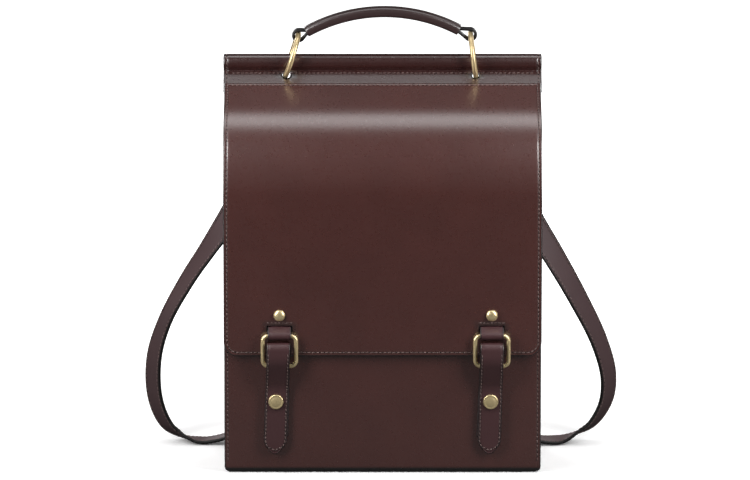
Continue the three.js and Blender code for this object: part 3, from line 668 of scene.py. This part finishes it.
for x, rx, s, rs in EYELETS:
    u, v = (across - x) / rx, (along - s) / rs
    far = np.maximum(np.abs(u), np.abs(v))
    round_far = (np.abs(u) ** OVAL_POWER + np.abs(v) ** OVAL_POWER) ** (1 / OVAL_POWER)
    scale = 1 + np.clip(2 - far, 0, 1) * (np.where(far > 0, far / np.maximum(round_far, 1e-9), 1.0) - 1)
    across, along = x + u * scale * rx, s + v * scale * rs
    keep &= np.maximum(np.abs(mid_a - x) / rx, np.abs(mid_b - s) / rs) > 1
distance = half_band - np.abs(across)
half_leather = LEATHER / 2
shape = sheet(band_path, across, along, sewn(half_leather, distance, STITCH), -half_leather, keep)
leather_piece("top_band", shape, band_shade_brown)
side = half_band - STITCH
sew("top_band", band_path, side_rows(side, 4, band_long - 9)
    + [cross_row(side - row_inset, at) for at in (leaf_start + 2.2, 3)], half_leather)
print("crease at", round(crease, 1), "of", round(band_long, 1), "mm")

# %% [markdown]
# The filling of the roll shows only at its two ends. It is a profile turned round the roll's own line:
# a rod with softly domed ends.

# %% Roll filling
def turned(rows, centre, axis, side_a, side_b, steps=40):
    """Rows of (radius, height) turned about an axis: centre + height axis + radius (cos a, sin a)."""
    rows = np.asarray(rows, float)
    t = np.linspace(0, 2 * np.pi, steps, endpoint=False)
    ring = np.cos(t)[:, None] * np.asarray(side_a, float) + np.sin(t)[:, None] * np.asarray(side_b, float)
    body = centre + rows[1:-1, 1, None, None] * np.asarray(axis, float) + rows[1:-1, 0, None, None] * ring
    poles = centre + rows[[0, -1], 1, None] * np.asarray(axis, float)
    verts = np.vstack([body.reshape(-1, 3), poles])
    n = len(rows) - 2
    quads = grid_faces(n, steps, close_columns=True).reshape(-1, 4)
    k = np.arange(steps)
    k_next, pole, end = (k + 1) % steps, np.full(steps, n * steps), (n - 1) * steps
    first = np.stack([pole, k, k_next, pole], 1)
    last = np.stack([pole + 1, end + k_next, end + k, pole + 1], 1)
    return verts, outward(verts, np.vstack([quads, first, last]))


core_end = half_band - 1.5
core_dome = [(0, 0), (2, 0), (4, 0.3), (4.6, 1.2), (4.65, 3)]  # radius, distance from the end
core_rows = [(r, d - core_end) for r, d in core_dome] + [(r, core_end - d) for r, d in core_dome[::-1]]
verts, faces = turned(core_rows, np.array([0, ROLL_Y, ROLL_Z]), (1, 0, 0), (0, 1, 0), (0, 0, 1))
add_piece("top_core_filling", verts, faces, filling, "roll_filling", stands_for=["top_core"])

# %% [markdown]
# ## The side walls
# A side wall is a strip that goes round from the front to the back, with its two edges turned in where
# they are sewn to the panels. Its width stands upright, its upper edge follows the flap, and its middle
# sinks in a little, as leather does when a bag stands by itself.

# %% Gussets
FLANGE, GUSSET_TURN, GUSSET_LEATHER, DISH = 9.0, 3.0, 2.0, 2.4
GUSSET_LOW, GUSSET_CORNER, FLAP_ROOM = 2.9, 7.0, 4.6
WALL_FRONT, WALL_BACK = FRONT_Y + LEATHER + GAP, BACK_Y - LEATHER - GAP


def gusset(sign):
    """A path round the wall in plan: in from the front flange, round a corner, along the side, and back."""
    x, y0, y1, r = half, WALL_FRONT, WALL_BACK, GUSSET_TURN
    t = np.linspace(0, np.pi / 2, 8)
    front = np.stack([np.linspace(x - FLANGE, x - r, 5), np.full(5, y0)], 1)
    turn_one = np.stack([x - r + r * np.sin(t), y0 + r - r * np.cos(t)], 1)
    wall = np.stack([np.full(26, x), np.linspace(y0 + r, y1 - r, 26)], 1)
    turn_two = np.stack([x - r + r * np.cos(t), y1 - r + r * np.sin(t)], 1)
    back = np.stack([front[::-1, 0], np.full(5, y1)], 1)
    plan = np.vstack([front, turn_one[1:], wall[1:], turn_two[1:], back[1:]])
    plan = plan if sign > 0 else (plan * [-1, 1])[::-1]
    return strip_ribbon(np.insert(plan, 2, 0.0, axis=1), (0, 0, 1))


def gusset_edges(y):
    """Lower and upper edge of the side wall at a depth y: round corners below, the flap's bend above."""
    d = np.clip(np.minimum(y - WALL_FRONT, WALL_BACK - y), 0, GUSSET_CORNER)
    low = GUSSET_LOW + GUSSET_CORNER - np.sqrt(GUSSET_CORNER ** 2 - (GUSSET_CORNER - d) ** 2)
    reach, slope = FLAP_BEND - LEATHER - FLAP_ROOM, np.radians(FLAP_SLOPE)
    cy, cz = flap_y + FLAP_BEND, bend_end[2]
    arc = cz + np.sqrt(np.maximum(reach ** 2 - (y - cy) ** 2, 0))
    ty, tz = cy - reach * np.sin(slope), cz + reach * np.cos(slope)
    return low, np.where(y < ty, arc, tz + (y - ty) * np.tan(slope))


for name, sign in (("left", -1), ("right", 1)):
    path = gusset(sign)
    s = np.linspace(RIM, path["length"] - RIM, 60)
    low, high = gusset_edges(pick(path, "middle", s)[:, 1])
    v = spread(0, 1, 0.025, margin=np.array([0, 0.004, 0.012, 0.03]))
    across = (low + RIM)[:, None] + (high - low - 2 * RIM)[:, None] * v
    turned_in = FLANGE + GUSSET_TURN
    middle_share = np.clip((s - turned_in) / (path["length"] - 2 * turned_in), 0, 1)[:, None]
    sink = DISH * np.sin(np.pi * middle_share) ** 2 * np.sin(np.pi * v) ** 0.7
    leather_piece(f"gusset_{name}", sheet(path, across, s[:, None], -sink, -GUSSET_LEATHER - sink), brown)

# %% [markdown]
# ## The handle
# Its rings are wire bent round a circle. They could be made from a torus, but the same helper is needed
# for the cover and the square rings: it carries a closed profile along a closed path.

# %% Rings of the handle
def carry(section, middle, wide, out):
    """A closed profile of (p, q) at each station: middle + p wide + q out. The path is closed as well."""
    n, k = len(middle), section.shape[-2]
    section = np.broadcast_to(section, (n, k, 2))
    verts = middle[:, None] + section[..., :1] * wide[:, None] + section[..., 1:] * out[:, None]
    verts = verts.reshape(-1, 3)
    return verts, outward(verts, grid_faces(n, k, True, True).reshape(-1, 4))


def oval(wide, high, count, power=2.0):
    """A superellipse: (w/2 |cos|^(2/p), h/2 |sin|^(2/p)) with the signs of the cosine and the sine."""
    t = np.linspace(0, 2 * np.pi, count, endpoint=False)
    c, s = np.cos(t), np.sin(t)
    return np.stack([wide / 2 * np.sign(c) * np.abs(c) ** (2 / power),
                     high / 2 * np.sign(s) * np.abs(s) ** (2 / power)], 1)


RING_R, RING_WIRE, RING_Y, RING_Z = 20.0, 4.6, 45.0, 365.3
RINGS = {"left": (-81.7, 17.7), "right": (81.7, -7.4)}
t = np.linspace(0, 2 * np.pi, 96, endpoint=False)
for name, (x, lean) in RINGS.items():
    lean = np.radians(lean)
    up_ring = np.array([np.sin(lean), 0, np.cos(lean)])
    out = np.cos(t)[:, None] * up_ring + np.sin(t)[:, None] * np.array([0, 1.0, 0])
    side_way = np.tile([np.cos(lean), 0, -np.sin(lean)], (len(t), 1))
    wire_line = np.array([x, RING_Y, RING_Z]) + RING_R * out
    verts, faces = carry(oval(RING_WIRE, RING_WIRE, 24), wire_line, side_way, out)
    add_piece(f"handle_ring_{name}_wire", verts, faces, old_brass, "brass", "handle", [f"handle_ring_{name}"])

# %% [markdown]
# The cover is a tube of leather with a wall. Its profile goes out along the arc, turns in over the lip at
# the end and comes back inside, so the path closes on itself and so does the skin.

# %% Handle cover
ARC, ARC_TOP, ARC_END, ARC_LEAN = 144.0, 405.0, np.radians(28.3), np.radians(0.65)
ARC_MIDDLE = np.array([ARC * np.sin(ARC_LEAN), ARC_TOP - ARC * np.cos(ARC_LEAN)])
LIP, COVER_POINTS = 0.7, 40
cover_out = oval(14.3, 9.9, COVER_POINTS, power=2.6)
cover_in = oval(9.8, 5.4, COVER_POINTS, power=7.0)
arc = np.linspace(-ARC_END, ARC_END, 60)
lip = np.linspace(0, np.pi, 9)[1:-1]
angle = np.concatenate([arc, ARC_END + 0 * lip, arc[::-1], -ARC_END + 0 * lip]) - ARC_LEAN
push = LIP * np.concatenate([0 * arc, np.sin(lip), 0 * arc, -np.sin(lip)])
inside = np.concatenate([0 * arc, (1 - np.cos(lip)) / 2, 0 * arc + 1, (1 + np.cos(lip)) / 2])
out = np.stack([np.sin(angle), 0 * angle, np.cos(angle)], 1)
ahead = np.stack([np.cos(angle), 0 * angle, -np.sin(angle)], 1)
middle = np.array([ARC_MIDDLE[0], RING_Y, ARC_MIDDLE[1]]) + ARC * out + push[:, None] * ahead
section = cover_out * (1 - inside)[:, None, None] + cover_in * inside[:, None, None]
verts, faces = carry(section, middle, np.tile([0, 1.0, 0], (len(angle), 1)), out)
edge = np.repeat(np.where(inside > 0.02, 1.0, 0.0), COVER_POINTS)
cover = leather_piece("handle_cover", (verts, faces, edge), handle_brown, body="handle")

# %% [markdown]
# The strap inside the cover is one belt: along the top of the arc, round the right ring, back below, and
# round the left ring. At a ring it follows a drop: a circle round the wire and two straight lines that
# touch it and run into the cover.

# %% Handle strap
def arc_run(start, end, layer):
    """Points on the handle's arc, a layer above or below its middle line."""
    a = np.linspace(start, end, 30)[:, None] - ARC_LEAN
    return ARC_MIDDLE + (ARC + layer) * np.hstack([np.sin(a), np.cos(a)])


def bow(centre, radius, end, spare, turn):
    """Points round a circle between two lines that touch it and pass an end point at a spare distance on
    both sides: the angle from the end to a touch is arctan(spare / d) + arccos(r / hypot(d, spare)).
    A turn of 1 goes round to the left, and -1 to the right."""
    way = np.arctan2(*(end - centre)[::-1])
    length = np.linalg.norm(end - centre)
    touch = np.arctan2(spare, length) + np.arccos(radius / np.hypot(length, spare))
    a = way + turn * np.linspace(touch, 2 * np.pi - touch, 40)
    return centre + radius * np.stack([np.cos(a), np.sin(a)], 1)


LOOP_HOLE, LOOP_R, LOOP_SPARE = 3.4, 4.75, 1.3


def ring_loop(sign, x, lean):
    """Points of the belt round one ring, lowered until its hole hangs on the upper side of the wire."""
    lean = np.radians(lean)
    drop = LOOP_HOLE - RING_WIRE / 2 - GAP
    centre = np.array([x + RING_R * np.sin(lean), RING_Z + RING_R * np.cos(lean) - drop])
    return bow(centre, LOOP_R, arc_run(sign * ARC_END, sign * ARC_END, 0)[0], LOOP_SPARE, -1)


LAYER, BELT_HALF, RUN_THICK, LOOP_THICK = 1.2, 4.5, 1.15, 1.35
runs = [arc_run(0.02, ARC_END, LAYER), ring_loop(1, *RINGS["right"]), arc_run(ARC_END, -ARC_END, -LAYER),
        ring_loop(-1, *RINGS["left"]), arc_run(-ARC_END, -0.02, LAYER)]
belt = np.vstack(runs)
thick = np.repeat([RUN_THICK, LOOP_THICK, RUN_THICK, LOOP_THICK, RUN_THICK], [len(run) for run in runs])
belt_s = lengths(belt)
even_s = np.linspace(0, belt_s[-1], 420)
thick = np.interp(even_s, belt_s, thick)[:, None]
belt_path = strip_ribbon(np.insert(between(even_s, belt_s, belt), 1, RING_Y, axis=1), (0, 1, 0), spare=0.5)
across, along = np.meshgrid(np.linspace(-BELT_HALF + RIM, BELT_HALF - RIM, 8), even_s)
shape = sheet(belt_path, across, along, thick, -thick)
leather_piece("handle_strap", shape, loop_black, "strap_leather", "handle")

# %% [markdown]
# ## Studs and snaps
# Both are turned brass. Their profile runs from the post's end to the middle of the cap: a domed button
# for the stud, and a flat cap with a rolled rim for the snap.

# %% Studs and snaps
def button(name, rows, x, y, z):
    """A profile of (radius, height in front of the leather) turned about the line that points forward."""
    verts, faces = turned(rows, np.array([x, y, z]), (0, -1, 0), (1, 0, 0), (0, 0, 1), steps=56)
    return add_piece(f"{name}_cap", verts, faces, brass, "brass", stands_for=[name])


STUD_Z, SNAP_Z, SNAP_X = 146.4, 67.2, {"left": -95.7, "right": 97.0}
dome = np.linspace(0.1, 1, 14) * np.pi / 2
stud_cap = [(5.15 * np.cos(u) ** 0.85, 1.0 + 2.7 * np.sin(u)) for u in dome[:-1]]
stud_rows = [(0, -4.6), (1.4, -4.6), (1.5, -4.4), (1.5, 0.3), (4.7, 0.3), (5.1, 0.45), (5.2, 0.8),
             *stud_cap, (0, 3.7)]
snap_rows = [(0, -6.4), (1.9, -6.4), (2.0, -6.2), (2.0, 0.3), (6.2, 0.3), (6.65, 0.5), (6.8, 1.0),
             (6.7, 1.6), (6.4, 2.05), (5.95, 2.3), (5.5, 2.25), (5.15, 2.1), (4.8, 2.15), (3.8, 2.5),
             (2.4, 2.85), (1.0, 3.0), (0, 3.02)]
STRAP_BACK = FRONT_Y - GAP - half_leather
STRAP_FRONT = STRAP_BACK - GAP - LEATHER
for name, x in TAB_X.items():
    button(f"stud_{name}", stud_rows, x, flap_y, STUD_Z)
for name, x in SNAP_X.items():
    button(f"snap_{name}", snap_rows, x, STRAP_FRONT - half_leather, SNAP_Z)

# %% [markdown]
# ## Tabs and square rings
# A tab is a short strip: down behind the flap, out through the slit, round the upper bar of the square
# ring and back in. Both tabs have the same shape, so it is worked out once and shifted to each side.

# %% Tabs
SQUARE_WIDE, SQUARE_WIRE, SQUARE_CORNER, SQUARE_Y = 29.8, 3.8, 5.0, -57.5
SQUARE_TOP, SQUARE_LOW = 128.6, 101.0
TAB_HALF, TAB_SPARE, TAB_STITCH = 0.75, 0.9, 2.4
mouth = np.array([flap_y - 0.2, SLIT_Z])
tab_loop = bow(np.array([SQUARE_Y, SQUARE_TOP]), SQUARE_WIRE / 2 + GAP + TAB_HALF, mouth, TAB_SPARE, 1)
tail = np.array([flap_y + LEATHER + GAP + 1.0, SLIT_Z]) + [(0, 18.8), (0, 3.8), (-0.4, 2.1), (-1.6, 1)]
strip = np.vstack([tail, mouth + [0.6, 0.85], tab_loop, mouth + np.array([(0.6, -0.85), (2.6, -0.85)])])
strip_s = lengths(strip)
strip = between(np.linspace(0, strip_s[-1], 90), strip_s, strip)
tab_path = strip_ribbon(np.insert(strip, 0, 0.0, axis=1), (1, 0, 0))
half_tab = TAB_WIDTH / 2
a = spread(-half_tab + RIM, half_tab - RIM, 3.0, margin=MARGIN[:7])
across, along = np.meshgrid(a, np.linspace(RIM, tab_path["length"] - RIM, 90))
outer = sewn(TAB_HALF, half_tab - np.abs(across), TAB_STITCH, 0.2)
verts, faces, edge = sheet(tab_path, across, along, outer, -TAB_HALF)
for name, x in TAB_X.items():
    leather_piece(f"tab_{name}", (verts + [x, 0, 0], faces, edge), clasp_brown, "strap_leather")

# %% [markdown]
# A square ring is wire bent round a square with round corners, so its path is four quarter circles, and
# the straight sides come about where one quarter ends and the next begins.

# %% Square rings
def square_stations(per_corner=14):
    """Stations round a square: a quarter circle about each of four points, and the outward direction."""
    t = np.concatenate([np.linspace(k * np.pi / 2, (k + 1) * np.pi / 2, per_corner) for k in range(4)])
    sx = np.repeat([1, -1, -1, 1], per_corner)
    sz = np.repeat([1, 1, -1, -1], per_corner)
    hx, hz = SQUARE_WIDE / 2 - SQUARE_CORNER, (SQUARE_TOP - SQUARE_LOW) / 2 - SQUARE_CORNER
    z = sz * hz + (SQUARE_TOP + SQUARE_LOW) / 2
    out = np.stack([np.cos(t), 0 * t, np.sin(t)], 1)
    return np.stack([sx * hx, np.full(len(t), SQUARE_Y), z], 1) + SQUARE_CORNER * out, out


middle, out = square_stations()
fore = np.tile([0, 1.0, 0], (len(out), 1))
for name, x in TAB_X.items():
    verts, faces = carry(oval(SQUARE_WIRE, SQUARE_WIRE, 24), middle + [x, 0, 0], out, fore)
    add_piece(f"square_ring_{name}_wire", verts, faces, brass, "brass", stands_for=[f"square_ring_{name}"])

# %% [markdown]
# ## Closing straps
# A closing strap climbs the front panel, leans out past the flap's edge, folds over the lower bar of the
# square ring and comes down on itself, where the snap holds both layers. Its tip is a soft point. Each
# strap hangs a little askew, so the middle line drifts sideways as it goes.

# %% Closing straps
CLOSE_WIDTH, FOLD_Z, FOLD_R, START_Z, TIP_Z = 21.0, 116.8, 4.6, 33.2, 18.6
DRIFT = {"left": (-95.2, -93.2, -96.9), "right": (94.6, 98.0, 95.6)}


def slip(distance, angle, radius):
    """A sideways step by two equal turns: the straight run between them, and the height that it takes."""
    a = np.radians(angle)
    run = (distance - 2 * radius * (1 - np.cos(a))) / np.sin(a)
    return run, run * np.cos(a) + 2 * radius * np.sin(a)


RISE_TURN, RISE_R, RISE_END = 14, 40, 9.7
FALL_TURN, FALL_R, FALL_START = 24, 25, 5
fold_back = flap_y - GAP - half_leather
rise_run, rise_high = slip(STRAP_BACK - fold_back, RISE_TURN, RISE_R)
fall_run, fall_high = slip(STRAP_FRONT - (fold_back - 2 * FOLD_R), FALL_TURN, FALL_R)
close_path = walk((STRAP_BACK, START_Z), 90, [
    (FOLD_Z - RISE_END - rise_high - START_Z, RISE_TURN, RISE_R), (rise_run, -RISE_TURN, RISE_R),
    (RISE_END, 180, FOLD_R), (FALL_START, FALL_TURN, FALL_R), (fall_run, -FALL_TURN, FALL_R),
    (FOLD_Z - FALL_START - fall_high - TIP_Z, 0, 0)])
TIP, CLOSE_STITCH, TIP_STITCH = 13.0, 1.7, 3.4
half_close, long = CLOSE_WIDTH / 2, close_path["length"]


def strap_half(to_tip):
    """Half width of a strap near its soft point: full times (1 - (1 - d/tip)^1.7)^0.75."""
    d = np.clip(to_tip / TIP, 0, 1)
    return half_close * np.maximum(1 - (1 - d) ** 1.7, 0.0) ** 0.75


b = np.unique(np.concatenate([np.linspace(RIM, long - TIP, 130),
                              long - TIP + (TIP - RIM) * np.sin(np.linspace(0, np.pi / 2, 16))]))
share = spread(-half_close, half_close, 2.5, margin=MARGIN[:7]) / half_close
width = np.maximum(strap_half(long - b) - RIM, 0.4)[:, None]
across = width * share
along = b[:, None]
distance = np.minimum(width + RIM - np.abs(across), long - along)
outer = sewn(half_leather, distance, CLOSE_STITCH, 0.3)
d = np.linspace(TIP_STITCH, TIP, 14)
point = np.stack([(strap_half(d) - CLOSE_STITCH) * np.clip((d - TIP_STITCH) / 3, 0, 1), long - d], 1)
line, fold_at, tip_at = half_close - CLOSE_STITCH, long - (FOLD_Z - TIP_Z) + 1, long - TIP - 1
row = np.vstack([straight(-line, fold_at, -line, tip_at), (point * [-1, 1])[::-1], point[1:],
                 straight(line, tip_at, line, fold_at)])
for name, (x_start, x_fold, x_tip) in DRIFT.items():
    middle = np.copy(close_path["middle"])
    climb = np.interp(middle[:, 2], [START_Z, FOLD_Z], [x_start, x_fold])
    fall = np.interp(middle[:, 2], [TIP_Z, FOLD_Z], [x_tip, x_fold])
    middle[:, 0] = np.where(close_path["s"] > FOLD_Z - START_Z + 10, fall, climb)
    path = {**close_path, "middle": middle}
    shape = sheet(path, across, along, outer, -half_leather)
    leather_piece(f"closing_strap_{name}", shape, clasp_brown, "strap_leather")
    sew(f"closing_strap_{name}", path, [row], half_leather, slot="strap_leather", pitch=3.6)

# %% [markdown]
# ## Shoulder straps
# They are sewn to the back, come out past the sides, bow down to the floor and run back behind the bag.
# Such a line is easiest to give as a short table of places that a smooth curve passes through, with how
# far the strap has turned from lying flat on the back to standing on edge.

# %% Shoulder straps
STRAP_ROWS = {  # x, y, z of the middle line, and the turn in degrees
    "left": [(-82, 49.8, 307, 0), (-113.9, 52.6, 257.6, 10), (-139.8, 57, 212.9, 34.9),
             (-159.9, 59, 182.1, 56.6), (-178.4, 62.5, 153.3, 60.9), (-198.8, 68, 114, 65.3),
             (-209.2, 73, 76.7, 56.3), (-208, 75, 38.9, 54.3), (-198, 74, 15.9, 56.3),
             (-186.7, 72, 7.8, 68.6), (-177.9, 70, 4, 81.3), (-170.3, 68.5, 1.5, 87.3),
             (-152.9, 66.5, 3.8, 86.7), (-138.5, 63.5, 8.7, 87.4), (-122, 60, 15, 56),
             (-101, 54, 28, 18), (-76, 49.8, 38, 0)],
    "right": [(82, 49.8, 303, 0), (113.7, 51.8, 251.7, 8), (138.3, 55.3, 206.4, 23.7),
              (156.9, 58, 175.6, 37.1), (178.8, 63, 135.8, 47.5), (198, 69, 95.2, 54.3),
              (206.9, 73.5, 61.4, 54.3), (204.6, 75, 36.8, 57.3), (192.9, 72.5, 17.7, 65.1),
              (179.8, 69.5, 9.9, 74.9), (165, 67, 3.6, 94), (152.4, 65, 3.1, 92),
              (130.5, 62.5, 7.2, 85), (114, 59, 16, 54), (97, 53.6, 28, 20), (76, 49.8, 38, 0)],
}
STRAP_WIDTH, STRAP_LEATHER, STRAP_PAINT = 23.5, 3.0, 1.8
GROOVE_INSET, ROW_INSET, STATIONS, SMOOTH = 2.8, 2.6, 260, 17


def smooth_curve(points, count):
    """A centripetal curve through points: each span blends its four neighbours by the root of their
    distance."""
    p = np.vstack([2 * points[0] - points[1], points, 2 * points[-1] - points[-2]])
    t = np.linspace(0, len(points) - 1, count)
    i = np.minimum(t.astype(int), len(points) - 2)
    w = (t - i)[:, None]
    p0, p1, p2, p3 = (p[i + k] for k in range(4))
    k01, k12, k23 = (np.linalg.norm(q, axis=1, keepdims=True) ** 0.5 for q in (p1 - p0, p2 - p1, p3 - p2))
    m1 = ((p1 - p0) / k01 - (p2 - p0) / (k01 + k12) + (p2 - p1) / k12) * k12
    m2 = ((p2 - p1) / k12 - (p3 - p1) / (k12 + k23) + (p3 - p2) / k23) * k12
    return ((2 * w ** 3 - 3 * w ** 2 + 1) * p1 + (w ** 3 - 2 * w ** 2 + w) * m1
            + (3 * w ** 2 - 2 * w ** 3) * p2 + (w ** 3 - w ** 2) * m2)


for name, rows in STRAP_ROWS.items():
    rows = np.array(rows, float)
    middle = smooth_curve(rows[:, :3], STATIONS)
    turn = np.interp(np.linspace(0, len(rows) - 1, STATIONS), np.arange(len(rows)), rows[:, 3])
    turn = np.convolve(np.pad(turn, SMOOTH // 2, "edge"), np.ones(SMOOTH) / SMOOTH, "valid")
    turn = np.radians(turn)[:, None]
    ahead = unit(np.gradient(middle, axis=0))
    inward = -np.sign(rows[0, 0]) * unit(np.stack([-ahead[:, 2], 0 * ahead[:, 0], ahead[:, 0]], 1))
    wide = inward * np.cos(turn) + np.array([0, -1.0, 0]) * np.sin(turn)
    wide = unit(wide - ahead * (wide * ahead).sum(1, keepdims=True))
    out = unit(np.cross(ahead, wide))
    reach = (STRAP_WIDTH * np.abs(wide) + STRAP_LEATHER * np.abs(out)) / 2
    behind = np.where(middle[:, 2] < FOLD + TURN_UP + STRAP_WIDTH / 2, turn_up_y, BACK_Y)
    near = np.abs(middle[:, 0]) < half + 1
    middle[:, 1] = np.where(near, np.maximum(middle[:, 1], behind + GAP + reach[:, 1]), middle[:, 1])
    middle[:, 2] = np.maximum(middle[:, 2], reach[:, 2] + 0.1)
    path = ribbon(middle, wide, out)
    a = spread(-STRAP_WIDTH / 2 + RIM, STRAP_WIDTH / 2 - RIM, 2.5, margin=MARGIN[:7])
    across, along = np.meshgrid(a, np.linspace(RIM, path["length"] - RIM, 240))
    high = STRAP_LEATHER / 2
    face = sewn(high, STRAP_WIDTH / 2 - np.abs(across), GROOVE_INSET, 0.3)
    verts, faces, edge = sheet(path, across, along, face, -face)
    shape = verts, faces, np.minimum(STRAP_PAINT * edge, 1)
    leather_piece(f"shoulder_strap_{name}", shape, strap_brown, "strap_leather")
    lines = side_rows(STRAP_WIDTH / 2 - ROW_INSET, 4, path["length"] - 4)
    sew(f"shoulder_strap_{name}_outer", path, lines, high, slot="strap_leather")
    sew(f"shoulder_strap_{name}_inner", path, lines, -high, slot="strap_leather")

# %% [markdown]
# ## Floor, light and camera
# The bag stands on a plain white floor that has no edge in sight. To the camera the floor glows a little
# more with the distance, so it runs into the white behind, and to the leather it is dark, so it doesn't
# light the bag from below.

# %% Floor
floor_mesh = bpy.data.meshes.new("floor")
reach = 14.0
corners = [(-reach, -reach, 0), (reach, -reach, 0), (reach, reach, 0), (-reach, reach, 0)]
floor_mesh.from_pydata(corners, [], [(0, 1, 2, 3)])
floor_paint, floor_tree, floor_shader = plain_material("floor paint")
seen = floor_tree.nodes.new("ShaderNodeLightPath").outputs["Is Camera Ray"]
pale = mix_colour(floor_tree, "MIX", seen, (0.08, 0.08, 0.08, 1), (1.1, 1.1, 1.1, 1))
feed(floor_tree, floor_shader.inputs["Base Color"], pale)
far = floor_tree.nodes.new("ShaderNodeVectorMath")
far.operation = "LENGTH"
feed(floor_tree, far.inputs[0], floor_tree.nodes.new("ShaderNodeTexCoord").outputs["Object"])
ramp = math_node(floor_tree, "MULTIPLY_ADD", far.outputs["Value"], 1.2, -0.12)
ramp.node.use_clamp = True
feed(floor_tree, floor_shader.inputs["Emission Strength"], math_node(floor_tree, "MULTIPLY", ramp, seen))
floor_shader.inputs["Emission Color"].default_value = (1, 1, 1, 1)
floor_shader.inputs["Roughness"].default_value = 0.9
floor_shader.inputs["Specular IOR Level"].default_value = 0.1
floor_mesh.materials.append(floor_paint)
floor = put("floor", floor_mesh)
floor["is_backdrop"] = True
print("floor:", 2 * reach, "metres wide")

# %% [markdown]
# A long softbox overhead draws the bright band along the bend of the flap and along the roll. Two at the
# sides light the front, one lights the floor far behind, and two behind light the back.

# %% Lights
def softbox(name, place, aim, size, power):
    """An area light of (width, height) metres at a place, turned to look at a point."""
    lamp = bpy.data.lights.new(name, "AREA")
    lamp.shape = "RECTANGLE"
    lamp.size, lamp.size_y = size
    lamp.energy = power
    light = put(name, lamp)
    light.location = place
    way = Vector(aim) - Vector(place)
    light.rotation_euler = way.to_track_quat("-Z", "Y").to_euler()
    light.visible_camera = False
    return light


SOFTBOXES = [  # name, place and aim, width and height, all in metres, and watts
    ("overhead", (-0.1, 0.055, 1.5), (-0.1, 0.03, 0.3), (1.6, 0.42), 4.9),
    ("side_left", (-0.5, -0.38, 0.5), (0, -0.05, 0.2), (0.25, 0.7), 4.8),
    ("side_right", (0.5, -0.38, 0.5), (0, -0.05, 0.2), (0.25, 0.7), 4.8),
    ("backdrop", (0, 0.6, 1.2), (0, 2.4, 0), (2.0, 0.4), 22),
    ("behind_left", (-0.85, 1.6, 0.6), (0, 0, 0.2), (0.6, 0.8), 10),
    ("behind_right", (0.85, 1.6, 0.6), (0, 0, 0.2), (0.6, 0.8), 10)]
for row in SOFTBOXES:
    softbox(*row)
print("softboxes:", [row[0] for row in SOFTBOXES])
world = bpy.data.worlds.new("studio")
bpy.context.scene.world = world
world.use_nodes = True
sky_tree = world.node_tree
sky = sky_tree.nodes["Background"]
sky.inputs["Color"].default_value = (1, 1, 1, 1)
seen = sky_tree.nodes.new("ShaderNodeLightPath").outputs["Is Camera Ray"]
feed(sky_tree, sky.inputs["Strength"], math_node(sky_tree, "MULTIPLY_ADD", seen, 0.95, 0.05))
bpy.context.scene.view_settings.view_transform = "Standard"

# %% [markdown]
# The photograph was taken from a little above with a long lens. The camera's place follows from one
# point whose pixel is known, the scale in millimetres to a pixel, and the angle that it looks down by.

# %% Camera
PIXELS, MM_PER_PIXEL, FAR, RAISE, SENSOR = (750, 480), 0.9, 6000.0, np.radians(12.0), 36.0
anchor, anchor_pixel = np.array([0, FRONT_Y, 0]), (382.6, 472.9)
back_way = np.array([0, -np.cos(RAISE), np.sin(RAISE)])
right_way, up_way = np.array([1.0, 0, 0]), np.array([0, np.sin(RAISE), np.cos(RAISE)])
off_x = (anchor_pixel[0] - PIXELS[0] / 2) * MM_PER_PIXEL
off_y = (PIXELS[1] / 2 - anchor_pixel[1]) * MM_PER_PIXEL
spot = anchor - right_way * off_x - up_way * off_y + back_way * FAR
lens = bpy.data.cameras.new("camera")
lens.sensor_fit, lens.sensor_width = "HORIZONTAL", SENSOR
lens.lens = SENSOR * FAR / (PIXELS[0] * MM_PER_PIXEL)
lens.clip_end = 100.0
camera = put("camera", lens)
camera.location = spot * MM
camera.rotation_euler = (np.pi / 2 - RAISE, 0, 0)
bpy.context.scene.camera = camera
print("camera at", np.round(spot).tolist(), "lens", round(lens.lens), "mm")

# %% [markdown]
# ## The end
# The box of the dressed model is printed at the end.

# %% Sizes and finish
low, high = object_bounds()
print("dressed box:", [round(v, 4) for v in (*low, *high)])
